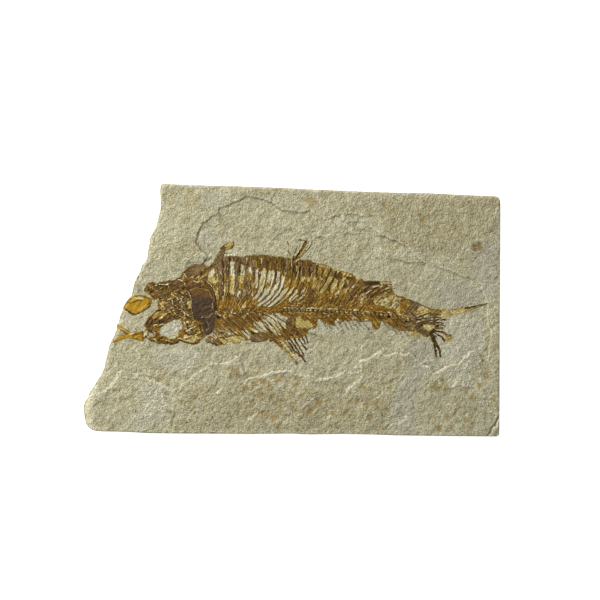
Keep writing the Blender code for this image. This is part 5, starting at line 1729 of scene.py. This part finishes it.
# %% Back
BACK_MARKS = [
    *hatch(
        214, 345, 5, ([190, 420], [313, 314]), ([190, 240, 300, 345], [334, 340, 333, 319]),
        [("walnut", 0.02, 0.5), ("umber", 0.02, 0.3), ("ochre", 0.02, 0.5), ("walnut", 0.02, 0.3)], seed=8,
    ),
    *crushed(
        [(207, 309), (250, 307), (270, 312), (262, 319), (240, 317), (216, 319)], 150, 12, CHIPS, 10, 60,
    ),
    *crushed(
        [(214, 319), (250, 318), (252, 328), (216, 327)], 60, 24,
        [("walnut", 0.02, 0.35), ("mauve", 0.02, 0.4), ("ochre", 0.02, 0.4), ("russet", 0.02, 0.3)], -30, 30,
    ),
    ("chalk", -0.06, AREA,
     [(254, 322), (260, 321.4), (264, 325), (268, 332), (264, 333.4), (258, 330), (254, 326)],
     [(264, 315.6), (268, 314.6), (282, 315), (286.4, 321), (285.6, 327.6), (278, 325), (271, 323),
      (266, 320)], [(241, 330.6), (246, 330.4), (250, 333), (252.4, 337), (249, 339), (244, 336)],
     [(260, 318), (265, 319.4), (272, 325), (279, 332.6), (281, 335), (275, 333.6), (268, 327.6),
      (262, 322)], [(271, 313.4), (279, 313.6), (288, 318), (289, 321.6), (284, 318.6), (276, 316)],
     [(253, 330), (256, 329.6), (258.6, 332), (256, 333.4)],
     [(210, 329), (213, 330), (219, 336.4), (216, 336), (211, 332)]),
    ("honey", -0.02, AREA, [(272, 323), (279, 325.6), (283, 329), (282, 332), (276, 330.6)],
     [(246, 328), (251, 327.4), (254, 329.4), (251, 332)],
     [(219, 339), (228, 337.6), (236, 335.6), (243, 337.4), (246, 340), (240, 342.2), (235, 343.2),
      (224, 343.4)]),
    ("mauve", 0.01, AREA,
     [(213.6, 327), (222, 326.6), (232, 328), (238, 334), (226, 336.6), (220, 335.6), (214.6, 331)],
     [(206, 338), (212, 335.6), (218, 337.6), (219, 344), (212, 343), (206, 341.6)]),
    *crushed(
        [(213, 328), (228, 327), (240, 334), (226, 337), (206, 343), (206, 338)], 50, 27,
        [("chalk", 0.02, 0.35), ("honey", 0.02, 0.5), ("umber", 0.02, 0.2), ("mauve", 0.02, 0.4),
         ("honey", 0.02, 0.4)], -38, 16,
    ),
    ("umber", 0.06, 0.48, [(249, 317.4), (251.8, 319.6), (257.6, 325), (262.4, 329), (267.6, 333)],
     [(258, 316.6), (266.5, 324.4), (269.4, 328.5), (272.4, 333)],
     [(263, 314.6), (269.4, 317), (274, 320.4), (277, 326), (281, 331.6)],
     [(273, 314), (276.7, 317), (281.2, 320), (287, 323.4)],
     [(268, 321.6), (272.9, 326.7), (276.5, 332), (279.4, 336.4)],
     [(277.6, 321), (281.2, 325.5), (283.5, 329.6), (287, 334)]),
    ("umber", 0.06, 0.42, [(249, 321), (252, 323.6), (255.3, 327.3), (260, 332.6)],
     [(240, 330.4), (243, 334), (248, 338.6)], [(242, 328.8), (246, 332.6), (252, 337.6)],
     [(247.4, 328), (251, 331), (254, 334)], [(281, 326), (284, 331)]),
    ("walnut", 0.05, 0.45, [(265, 318), (272, 324), (275.6, 329.6)],
     [(268.6, 316), (275, 322.6), (279.4, 329.4)], [(280, 315.6), (285.6, 321)], [(262, 322), (266.6, 328)]),
    ("umber", 0.02, 0.45, [(228.6, 328.6), (234, 333.6), (240, 336)], [(212, 330.6), (217, 335.6)],
     [(220, 337.6), (227, 339.6)]),
    ("walnut", 0.04, AREA,
     [(258, 333), (264, 332.6), (272, 334), (280, 336), (284, 334), (286, 336.4), (271, 338.6), (262, 338)]),
    ("mauve", 0.05, AREA,
     [(250.6, 337.4), (254, 335), (260, 334.4), (264.4, 337), (266, 339.6), (260, 341.8), (254, 341.8),
      (251, 340)]),
    ("umber", 0.03, 0.6, [(251, 341), (257, 342), (264, 340.6)], [(206, 342), (212, 343.4), (218, 344.8)],
     [(253.6, 332.6), (258.4, 334.6)]),
    ("chalk", 0.02, 0.4, [(226, 338.4), (233, 338)], [(236, 341), (240, 340)]),
    ("gap", -0.34, AREA,
     [(203, 331), (206, 334), (209, 331), (211.4, 330), (213, 333), (212, 335.6), (209, 336),
      (205.6, 338.6), (203.4, 340)]),
]
print(len(BACK_MARKS), "marks on the back")

# %% Slits between the ribs of the flank
SLIT_MARKS = [
    ("amber", 0.02, AREA,
     [(317.6, 264.2), (325, 265.2), (332, 267.6), (341, 270.8), (348, 273), (353, 276.4), (351, 278),
      (345, 276.6), (338, 271.4), (331, 270), (328, 275), (322, 276), (318, 273.5)]),
    ("honey", 0.02, 0.6, [(319, 265.6), (325, 266.6), (331, 268.6)], [(319, 268), (321, 272)],
     [(326, 268), (324.6, 273)], [(333, 269.4), (340, 271.8), (347, 274.4)], [(343, 273.6), (350, 275.6)]),
    ("honey", -0.04, AREA,
     [(330.4, 275.4), (332.8, 277), (331.6, 280), (324, 291), (321.4, 293.6), (319.6, 292.4), (321, 289),
      (327, 280)], [(334.8, 278.8), (337.6, 280.6), (336.4, 285), (332, 292.8), (330, 292), (330.6, 287.6)],
     [(343.4, 276.8), (345.6, 278.4), (343.4, 285), (341, 288.4), (338.8, 287.4), (340.6, 281)],
     [(314.4, 277.6), (316.6, 278.4), (315, 284), (313.2, 289.4), (311.8, 288), (313, 282)],
     [(301.4, 276.8), (304.6, 277.4), (304, 281.6), (301.6, 280.4)],
     [(307, 277.4), (309, 277.6), (309, 281.6), (307, 280.6)],
     [(318.4, 284), (319.6, 285), (317.4, 293.6), (316, 292)],
     [(344.6, 288), (346.6, 290), (345, 293.6), (343.4, 291)],
     [(360, 300), (363.4, 297.4), (366.4, 295.6), (367, 299), (366.8, 302.6), (361, 302.8)],
     [(374, 299), (377, 296.6), (382, 296), (388, 297), (393, 294.6), (400, 297.4), (401.6, 302),
      (400, 306), (400, 311.5), (396, 310.4), (392, 307.6), (388, 308.4), (384, 306.6), (375.4, 304.5),
      (373.6, 302)],
     [(296, 317), (300.6, 317), (302, 320), (308, 321), (312.4, 325), (313, 327.4), (308, 328.6),
      (300, 327.4), (296, 328.6)]),
    ("honey", -0.02, 0.8, [(347.4, 280.4), (348, 284)], [(346, 275), (351, 276.4)],
     [(319.6, 278), (321.6, 279.6)]),
    ("chalk", -0.01, 0.6, [(338.6, 291), (335, 295)], [(337, 296), (335.4, 298)],
     [(348.6, 288.4), (345.4, 290.6)]),
    ("umber", 0.05, 0.9, [(331, 268), (329.4, 273), (325.6, 279.6)], [(323, 270.6), (321.6, 276)],
     [(336, 271.6), (334.4, 276)], [(340, 272), (337.6, 277), (335, 277.6)],
     [(317.2, 265), (316.6, 272), (315.6, 276)]),
    ("umber", 0.04, 0.8, [(347, 278), (350, 277.6), (352.6, 279)], [(309.4, 268), (309.4, 276)],
     [(303, 268), (303, 275)]),
    ("umber", 0.03, 0.6, [(333.4, 279), (330, 285.6), (328.4, 290)], [(339.4, 280), (337.6, 286)],
     [(326.6, 280), (322.6, 286.6), (320, 289)], [(345.6, 280), (343.6, 287)]),
    ("amber", 0.02, 1, [(341.6, 289.6), (340, 295)], [(328.6, 292), (328, 295.6)],
     [(317.4, 291), (318.6, 294)], [(320.6, 283), (321.6, 286)]),
    ("russet", 0.01, 1.2, [(356, 294), (349.6, 300), (343, 304)], [(312, 291), (308, 297)]),
    ("mauve", 0.02, 1.2, [(352.6, 282), (349, 287)], [(356.4, 284.4), (351, 292), (346, 297)]),
]
print(len(SLIT_MARKS), "marks round the slits")

# %% Crust of the flank
CRUST_MARKS = [
    ("russet", 0.01, AREA, [(367.6, 300), (373, 299.6), (374, 304.6), (368, 305.4)],
     [(366, 290), (378, 286.6), (380, 290), (373, 296), (367, 296)]),
    *crushed(
        [(346, 284), (358, 282), (366, 293), (374, 297), (366, 303), (346, 301)], 80, 21,
        [("umber", 0.02, 0.3), ("mauve", 0.02, 0.4), ("chalk", 0.01, 0.2), ("walnut", 0.02, 0.5),
         ("ochre", 0.02, 0.5)], 42, 8,
    ),
    *crushed(
        [(376, 297), (384, 291), (392, 291), (402, 298), (400, 310), (382, 305), (374, 303)], 140, 22,
        [("umber", 0.01, 0.25), ("walnut", 0.02, 0.3), ("chalk", 0.01, 0.3), ("honey", 0.01, 0.4),
         ("amber", 0.01, 0.3), ("mauve", 0.02, 0.6), ("chalk", 0.01, 0.4)], 22, 10,
    ),
    *crushed(
        [(298, 293), (340, 296), (366, 300), (372, 307), (340, 307), (292, 307)], 240, 23,
        [("walnut", 0.02, 0.35), ("ochre", 0.02, 0.4), ("amber", 0.01, 0.3), ("umber", 0.02, 0.25),
         ("honey", 0.01, 0.15), ("umber", 0.02, 0.2)], 35, 30,
    ),
    *crushed(
        [(298, 314), (350, 317), (404, 322), (402, 330), (378, 325), (340, 321), (298, 319)], 150, 34,
        [("walnut", 0.02, 0.4), ("umber", 0.02, 0.3), ("ochre", 0.02, 0.4), ("honey", 0.01, 0.15),
         ("walnut", 0.02, 0.5)], -45, 12,
    ),
    ("honey", 0.01, 0.35, [(322, 307.6), (332, 308.4)], [(309, 308.4), (318, 308.2)],
     [(361, 306.4), (363.4, 303.6)]),
]
print(len(CRUST_MARKS), "marks in the crust")

# %% Root of the tail
TAIL_ROOT_MARKS = [
    ("ochre", 0.02, AREA, [(401.4, 298), (410, 300.6), (412, 306), (408, 311), (402, 310), (400.6, 305)],
     [(372.6, 321), (379.6, 321.4), (379.6, 325.6), (377.6, 328.6), (373.6, 326.4)]),
    ("mauve", 0.02, AREA,
     [(410, 300.6), (418, 303.4), (418, 310), (414.8, 331), (404, 330), (402, 320), (404, 312), (410, 309)]),
    *crushed(
        [(404, 302), (416, 304), (415, 330), (402, 329), (392, 322), (398, 312)], 60, 30,
        [("umber", 0.02, 0.25), ("honey", 0.02, 0.25), ("walnut", 0.02, 0.5), ("amber", 0.02, 0.3)], 20, 40,
    ),
    ("umber", 0.02, 0.6, [(396, 296), (402, 297.4), (410, 300.4), (417, 303.6)], [(406, 318), (414, 318.6)],
     [(404, 323), (413, 321)], [(405, 327.6), (413, 325)]),
    ("walnut", 0.02, 1, [(392, 320), (399, 324), (406, 328)], [(376, 308.6), (390, 311), (398, 314)]),
]
print(len(TAIL_ROOT_MARKS), "marks on the root of the tail")

# %% Patches over the flank
PATCH_MARKS = [
    ("chalk", 0.03, AREA, [(353, 310.2), (355, 308), (357.6, 310.2)]),
    ("mauve", 0.03, AREA, [(352.6, 311), (356.6, 311), (356.6, 316), (352.6, 316)],
     [(287, 316), (294, 317), (294, 324), (291, 330), (288.6, 328)]),
    *crushed(
        [(286, 315), (296, 316), (297, 330), (313, 328), (308, 334), (288, 336)], 90, 37,
        [("mauve", 0.02, 0.5), ("walnut", 0.02, 0.6), ("umber", 0.02, 0.4), ("russet", 0.02, 0.4),
         ("ochre", 0.02, 0.4)], 70, 30,
    ),
    ("chalk", 0.02, 0.55, [(336.4, 311.2), (338.4, 311)], [(328.6, 315), (329.6, 315)],
     [(344, 312.4), (345.6, 312.2)], [(376.4, 313), (378, 313)]),
    ("chalk", 0.01, 0.45, [(352.8, 318.4), (356, 317.8)], [(337, 319.4), (338.6, 321)],
     [(365, 320), (367.4, 320.2)]),
]
print(len(PATCH_MARKS), "marks in the patches")

# %% Backbone and its pits
VERTEBRA = 4.4
VERTEBRA_SHIFT = (-0.6, 0.6)
BODY_WIDTHS = (0.9, 1.4)
WAIST_WIDTHS = (0.3, 0.5)
HIGHLIGHT_WIDTHS = (0.15, 0.35)
CLEAR_PART = 0.34
HIGHLIGHT_CHANCE = 0.6
SHADOW_CHANCE = 0.7
GLINT_CHANCE = 0.4
BACKBONE = [(283, 310.4), (320, 310.8), (340, 311.6), (360, 313.2), (380, 314.5), (400, 317), (413, 320)]
PIT_MARKS = [
    ("russet", 0.02, 2.4, [(218.6, 317), (219.8, 317)]),
    ("honey", 0.02, 1.9, [(225, 316.6), (226, 316.6)]),
    ("honey", 0.02, 1.3, [(230.2, 315), (231, 315)]),
    ("chalk", 0.02, 0.6, [(230.8, 311.6), (231.6, 312.6)], [(234, 313.6), (235.4, 314)],
     [(246.4, 313.6), (248, 314)]),
    ("pit", -0.09, 1.5, [(218.4, 317), (219.8, 317)]),
    ("umber", -0.06, 0.8, [(225.2, 316.6), (226, 316.6)]),
    ("mauve", 0.02, 2.2, [(389.2, 317), (389.8, 317)]),
    ("pit", -0.09, 1.7, [(389.3, 317), (389.9, 317.2)]),
]


def backbone_marks():
    """The chain of vertebrae: grey bodies and dark waists, with more thin lines in its clear front part,
    painted highlights along their tops, painted shadows below and small painted glints.
    """
    random = np.random.default_rng(9)
    line = rounded(BACKBONE)
    shares = np.arange(0, 1, VERTEBRA / passed_along(line)[-1])
    marks = [("walnut", 0.05, 1.6, BACKBONE)]
    for share, (x, y) in zip(shares, along_run(line, shares)):
        x += random.uniform(*VERTEBRA_SHIFT)
        marks.append(("mauve", 0.03, random.uniform(*BODY_WIDTHS), [(x + 1.2, y - 0.5), (x + 3.0, y - 0.4)]))
        waist = [(x - 0.4, y - 1.5), (x + 0.4, y + 1.8)]
        marks.append(("umber", -0.01, random.uniform(*WAIST_WIDTHS), waist))
        if share < CLEAR_PART:
            marks.append(("chalk", 0.03, 0.25, [(x + 0.4, y - 2.1), (x + 3.2, y - 3.0)]))
            marks.append(("umber", 0.0, 0.25, [(x, y - 3.2), (x + 3, y - 3.8)]))
            marks.append(("honey", 0.02, 0.25, [(x + 0.2, y + 2.5), (x + 2.8, y + 2.6)]))
        elif random.random() < HIGHLIGHT_CHANCE:
            highlight = [(x - 1.2, y - 2.6), (x + 2, y - 2.5)]
            marks.append(("honey", 0.02, random.uniform(*HIGHLIGHT_WIDTHS), highlight))
        if random.random() < SHADOW_CHANCE:
            marks.append(("umber", 0.0, 0.3, [(x - 1.5, y + 3.2), (x + 1.8, y + 3.3)]))
        if random.random() < GLINT_CHANCE:
            marks.append(("honey", 0.03, 0.6, [(x + 1, y), (x + 2, y + 0.3)]))
    return marks


BACKBONE_MARKS = backbone_marks()
print(len(BACKBONE_MARKS), "marks along the backbone")

# %% Build the trunk
BODY_MARKS = (
    BELLY_MARKS + SHOULDER_MARKS + WINDOW_MARKS + RIB_MARKS + BACK_MARKS + SLIT_MARKS + CRUST_MARKS
    + TAIL_ROOT_MARKS + PATCH_MARKS + BACKBONE_MARKS + PIT_MARKS
)
body_mesh = make_bone("trunk_bones", BODY, BODY_MARKS, BODY_CELL, seed=170, flow=along_ribs)
show(body_mesh, "body", brown_bone)

# %% [markdown]
# ## The fins
# A fin is a row of thin rays with next to nothing between them. On the pelvic, dorsal and tail fins the web
# between the rays lies just under the stone's surface, so the stone shows there, as it does on the real
# slab. The pectoral and the anal fin are folded to one brown film, and their web stands out a little.
# %% Pectoral fin
FIN_CELL = 0.25
WEB = -0.14
PECTORAL_FIN = [
    (206.6, 268.3), (211, 264.6), (215, 257.6), (218.8, 250.6), (222, 246.6), (224.7, 244), (229, 242),
    (233, 241.2), (234.8, 243.6), (233.6, 246.6), (229.8, 249.4), (226, 250.6), (224.6, 253), (223.4, 257),
    (220.6, 260.6), (216.6, 265), (211, 270),
]
PECTORAL_MARKS = [
    ("mauve", 0.03, AREA,
     [(206.6, 268.3), (211, 264.6), (215, 257.6), (219, 250), (223, 246.6), (226, 249), (224.6, 253),
      (223.6, 259), (219, 265), (211, 269.6)]),
    ("honey", 0.03, AREA,
     [(224.4, 245), (228, 242.8), (232, 241.8), (234.4, 243.6), (232.6, 247), (228.6, 249.4), (225.6, 249)]),
    ("umber", 0.05, 0.45, [(223.4, 246.4), (219.2, 250.4), (215.6, 257), (211.6, 264.4), (208.4, 268)]),
    ("walnut", 0.03, 0.5, [(222.6, 249), (219.6, 255), (216.4, 262)],
     [(224.6, 250.6), (222.8, 256.6), (222.4, 260)]),
    ("russet", 0.02, 0.5, [(230.4, 242.4), (231.4, 245.6)], [(233, 243), (232.6, 245.6), (229, 248.8)],
     [(226, 244.6), (229, 243)]),
    ("amber", 0.02, 0.5, [(226, 247.6), (229.6, 246), (231, 243.6)]),
    ("umber", 0.03, 0.3, [(226, 249.8), (229.6, 249), (233.4, 246.4)]),
]
pectoral_mesh = make_bone("pectoral_fin_rays", PECTORAL_FIN, PECTORAL_MARKS, FIN_CELL, seed=210, grow=0.1)
show(pectoral_mesh, "pectoral_fin", brown_bone)

# %% Pelvic fin
PELVIC_FIN = [
    (291.4, 262), (292.2, 257.4), (294.2, 251), (296.8, 245), (298.5, 245.4), (298.4, 249), (302, 243.6),
    (304, 241.2), (299, 240.9), (299, 239.2), (306, 239.4), (312.8, 239.9), (313, 242.6), (308.6, 250.8),
    (303, 256.4), (299.5, 259.6), (297.3, 261.4), (294, 263.4),
]
PELVIC_MARKS = [
    ("honey", 0.17, AREA,
     [(295.6, 261), (298, 257), (300.6, 254), (303.6, 250.6), (306, 251.6), (303.4, 256), (299, 260)]),
    ("mauve", 0.2, AREA,
     [(299.4, 252), (303.6, 246.6), (306, 241.6), (309.4, 239.6), (308.4, 243.6), (304.6, 249.4),
      (301, 253)]),
    ("umber", 0.22, 0.55, [(292.4, 262.4), (293.2, 257.3), (295, 252), (297.4, 246)],
     [(306, 251), (309.6, 246.4), (312.4, 241)]),
    ("umber", 0.25, 0.75, [(293, 262.4), (297, 256.4), (300.4, 250.6), (303.4, 246), (306, 240.8)]),
    ("walnut", 0.22, 0.6, [(294.6, 259), (297.4, 253.4), (301, 248)],
     [(296.4, 260.4), (300.6, 254), (305, 248.4)]),
    ("honey", 0.23, 0.4, [(303.4, 250.6), (306, 247), (308.4, 243)], [(299, 257.4), (303.6, 252)]),
    ("chalk", 0.16, 0.45, [(296, 255), (299.6, 249.4), (303.6, 242.6)],
     [(306.4, 249), (310, 244), (311.6, 240.6)], [(295.4, 261.4), (298, 260.4), (301, 260.2)]),
    ("umber", 0.22, 0.5, [(299.4, 240.1), (305.3, 240.5)]),
]
pelvic_mesh = make_bone("pelvic_fin_rays", PELVIC_FIN, PELVIC_MARKS, FIN_CELL, seed=220, lift=WEB, grow=0.3)
show(pelvic_mesh, "pelvic_fin", brown_bone)

# %% Anal fin
ANAL_FIN = [
    (360.6, 280.4), (364, 280.6), (371, 280.8), (377.6, 281), (384, 281.8), (390.8, 282), (391.4, 286.7),
    (390.4, 291), (385, 293.6), (380, 294.8), (374, 298), (369, 298.4), (364.5, 292), (361.8, 286),
]
ANAL_MARKS = [
    ("umber", 0.03, AREA,
     [(362.4, 281), (371, 280.8), (379, 281), (380.6, 284), (376, 285), (370, 285), (364.6, 285)]),
    ("russet", 0.03, AREA, [(366, 292), (371, 288), (378, 287.6), (380, 291), (375, 296), (369.6, 297.6)]),
    ("honey", 0.02, AREA, [(378.8, 282.8), (382, 281.4), (387.6, 281.8), (386, 283.8), (381, 284.4)],
     [(384.2, 288), (389.8, 287.8), (390, 290.6), (385.6, 291.2)]),
    ("mauve", 0.03, 0.8, [(382.6, 286.8), (387, 285), (391, 284)], [(383, 289), (388, 286.6), (391, 286)]),
    ("mauve", 0.03, AREA, [(362, 284.6), (370, 285), (376, 285.4), (372, 288), (366, 291.6), (364, 290)]),
    ("umber", 0.05, 0.55, [(364, 291), (369, 286.4), (375, 282.6)],
     [(367, 295.4), (374, 289.4), (382, 284.4)], [(370.4, 297.4), (378, 291), (388, 285.6)],
     [(377, 295.4), (383, 291.4), (390, 288.8)]),
    ("chalk", 0.03, 0.55, [(373.6, 287), (378, 286.2), (381.6, 285.6)],
     [(366.6, 293.4), (369, 291.6), (371.4, 290.2)], [(388.4, 283.4), (391.4, 283)],
     [(388.4, 285.6), (391.6, 285.2)], [(380.6, 286.2), (383, 284)]),
    ("amber", 0.03, 0.7, [(372, 292.6), (377, 289.6)]),
    ("honey", 0.03, 0.45, [(380, 284), (384.6, 282.6), (389.6, 283)]),
    ("russet", 0.02, 0.6, [(384, 285.4), (389.8, 284.6)]),
]
anal_mesh = make_bone("anal_fin_rays", ANAL_FIN, ANAL_MARKS, FIN_CELL, seed=230, grow=0.3)
show(anal_mesh, "anal_fin", brown_bone)

# %% Dorsal fin
DORSAL_FIN = [
    (270.8, 338.6), (278, 338.4), (285, 337.6), (296, 336.8), (302.3, 336), (304.6, 333.6), (306.8, 333.4),
    (308.8, 340), (308.4, 344), (307.4, 350), (304.6, 352.4), (304.8, 355), (306.6, 361.5), (305.2, 363.4),
    (301, 360), (297.4, 359), (297.4, 361.8), (295.3, 363), (290, 358), (285, 352.6), (280.6, 347.8),
    (275.4, 343.4),
]
DORSAL_MARKS = [
    ("chalk", 0.18, 1.5, [(281, 341.6), (285, 346), (290, 351.6), (293.6, 355.6)]),
    ("chalk", 0.18, 0.55, [(287.4, 340.6), (291.4, 347.2)], [(296.6, 339), (299.6, 344)],
     [(301, 338), (303.6, 342.6)], [(291.3, 338.4), (295, 343.2), (298.2, 348.4), (300.8, 353.2)]),
    ("russet", 0.3, 0.9, [(271, 338.4), (276.5, 342.4), (280, 346)]),
    ("umber", 0.28, 0.6, [(271.8, 339.5), (275, 341.6), (278.2, 344.7), (281.3, 347.6), (283.7, 350.4)],
     [(275.3, 338.6), (279.4, 343.4)]),
    ("amber", 0.3, 1.6, [(277.6, 339.5), (281.3, 345), (284.5, 348.9), (290.8, 356.3), (295.8, 361.8)]),
    ("honey", 0.04, 0.7, [(283, 348.6), (287, 353.4), (291, 358), (295, 361.6)]),
    ("walnut", 0.02, 0.4, [(279.6, 342), (284.4, 348), (288.6, 353)]),
    ("amber", 0.26, 0.8, [(281.3, 337.9), (286.6, 343.7), (291.8, 350.5), (294.5, 353.4)]),
    ("umber", 0.28, 0.65, [(285.5, 336.8), (289.7, 343.7), (293.9, 350), (299.7, 356.3)],
     [(289.2, 337.9), (293.9, 345.3), (299.2, 353.2), (305.5, 362.1)],
     [(294, 337.9), (298.7, 346.8), (304, 354.7)], [(298.7, 338.4), (303.4, 345.8), (306.6, 349.7)]),
    ("umber", 0.26, 0.5, [(302.4, 337), (305.5, 344.6)], [(304.8, 334.4), (307, 339), (307.8, 343.4)]),
    ("mauve", 0.24, 0.7, [(302.4, 355), (304, 357.6)]),
]
dorsal_mesh = make_bone("dorsal_fin_rays", DORSAL_FIN, DORSAL_MARKS, FIN_CELL, seed=240, lift=WEB, grow=0.3)
show(dorsal_mesh, "dorsal_fin", brown_bone)

# %% Tail fin
TAIL_CELL = 0.28
TAIL_FIN = [
    (416.4, 303), (424, 305.6), (428, 307), (432.5, 308.6), (437.5, 309.2), (444, 309.2), (454, 308.2),
    (462.5, 307.6), (467.5, 306.8), (474.4, 305.2), (480.6, 304.4), (487, 302.8), (487, 304.4),
    (481.4, 306.6), (476, 309.6), (473, 311.6), (468.8, 312), (462.5, 314.2), (456.3, 315.6), (450, 317.8),
    (446, 319), (446.2, 321), (444, 322.6), (446.2, 326.2), (443.8, 328.4), (444.5, 331), (448, 332.6),
    (452.2, 335.2), (452, 342.6), (448, 342.6), (444.6, 341.4), (440, 338.6), (438.8, 344.5), (441.4, 350),
    (442, 357), (439.6, 357.6), (437.4, 356), (435, 357.2), (432.6, 349), (431.4, 341), (427.6, 338),
    (419, 338), (412, 337), (409.6, 334.6), (409.8, 331.6), (413.4, 330.6), (413.4, 325), (413.4, 318),
    (415.4, 310),
]
TAIL_MARKS = [
    ("mauve", 0.2, AREA,
     [(408, 311), (418, 312), (428, 312.4), (436, 313), (437, 316), (437, 320), (438, 324), (435, 327),
      (430, 331), (432, 336), (426, 337), (420, 334), (408, 330.6)]),
    ("honey", 0.24, AREA,
     [(412, 313), (418, 308.4), (424, 308), (432, 309.6), (441, 309.8), (454, 309), (463, 308.2),
      (470, 307.8), (475, 307.6), (468, 311.4), (462, 313), (456, 314.8), (448, 317.2), (442, 318),
      (440, 313.4), (430, 312), (420, 314)]),
    ("ochre", 0.22, AREA, [(427, 309), (441, 309.6), (442, 312), (439, 313.6), (428, 312.6)]),
    *crushed(
        [(416, 308), (424, 307.6), (441, 310), (439, 314), (420, 313)], 30, 31,
        [("honey", 0.02, 0.4), ("walnut", 0.02, 0.3), ("amber", 0.02, 0.5)], 5, 12,
    ),
    ("mauve", 0.2, AREA, [(408, 300), (416.4, 303.2), (421, 305), (417, 309.4), (414, 313), (408, 312)]),
    ("walnut", 0.24, 0.9, [(413, 301.4), (418, 303.6), (424, 306), (432, 309), (440, 310)]),
    *crushed(
        [(416, 314), (436, 313), (438, 322), (428, 324), (418, 330)], 60, 32,
        [("umber", 0.02, 0.3), ("honey", 0.02, 0.35), ("mauve", 0.02, 0.5), ("chalk", 0.02, 0.25)], 4, 14,
    ),
    ("walnut", 0.28, 0.4, [(430, 309), (441, 310), (455, 309), (466, 307.8)]),
    *crushed(
        [(440, 309.6), (470, 308), (470, 311), (444, 318)], 50, 35,
        [("ochre", 0.02, 0.25), ("walnut", 0.02, 0.15), ("honey", 0.02, 0.3), ("chalk", 0.02, 0.15)], 6, 8,
    ),
    ("umber", 0.3, 1, [(465.6, 308), (474.4, 306.6), (481, 305.2), (486.8, 303.4)]),
    ("honey", 0.26, 0.6, [(470, 310), (475.6, 307.6), (481, 306)]),
    ("umber", 0.27, 0.55, [(415.6, 318.3), (425, 314.5), (432.5, 314), (440.4, 314.4)],
     [(416, 320), (423.8, 318.3), (431.3, 317.4), (440.4, 317.4)],
     [(417, 323), (426.3, 321.4), (437.5, 319.6)], [(418, 325), (428, 322.8), (437.5, 322.6)]),
    ("umber", 0.28, 0.6, [(430, 314.2), (440.4, 314.4)], [(434, 320), (445.6, 319.6)],
     [(433, 322.6), (443.6, 323.4)], [(436, 326), (441.3, 324.8), (445.2, 326.4)],
     [(434, 317.4), (441, 317.4)]),
    ("honey", 0.05, 0.3, [(417, 315.6), (424, 313.4), (430, 313)]),
    ("mauve", 0.26, 1.5, [(435, 328.4), (439, 327.6), (442.6, 328.6)]),
    ("umber", 0.26, 1, [(431, 328), (437.5, 331.2), (443.8, 332.4), (447, 335), (451.4, 335.8)],
     [(432, 331), (438, 334.6), (441.3, 336.6), (445, 341)]),
    ("umber", 0.26, 0.7, [(427, 330), (430.6, 332.4), (434, 335.4), (437, 337.6)]),
    ("russet", 0.26, 0.9, [(445, 333), (448, 335), (451, 334.6)]),
    ("honey", 0.24, AREA,
     [(444.6, 335.4), (448, 334.8), (452, 337), (451.6, 342), (447.6, 342.2), (445, 339.4)],
     [(410, 331.6), (415.6, 332.2), (419.6, 334.5), (419.6, 337.2), (412.5, 336.9), (410, 334.7)]),
    ("umber", 0.3, 1.3, [(430, 334), (433, 339.5), (434.6, 344.5), (436.4, 357)],
     [(432.4, 335.6), (436.6, 344), (439.2, 349.8), (441, 357.2)]),
    ("chalk", 0.2, 0.4, [(436, 319), (441, 318.6), (446, 318.6)],
     [(436, 324.4), (440, 324), (443.6, 324.6)], [(437, 321), (444, 321)], [(434.6, 329.6), (441, 330.6)],
     [(436, 333), (441.6, 335.4)]),
    ("walnut", 0.2, 0.4, [(429.8, 339), (429, 345.8), (428.6, 353)]),
    ("honey", 0.02, AREA,
     [(422.4, 324.6), (427, 325.6), (434.4, 325.4), (434, 328), (430.6, 331.8), (428, 331.4),
      (425.6, 328.6)]),
    *crushed(
        [(424, 325.6), (434, 326), (430, 331)], 8, 36, [("ochre", 0.02, 0.3), ("chalk", 0.02, 0.3)], -30, 20,
    ),
    ("umber", 0.24, 0.5, [(414, 323), (420, 329), (427, 335.6)], [(414.4, 327), (419, 331), (423, 335.6)]),
]
tail_mesh = make_bone("tail_fin_rays", TAIL_FIN, TAIL_MARKS, TAIL_CELL, seed=250, lift=WEB, grow=0.3)
show(tail_mesh, "tail_fin", brown_bone)
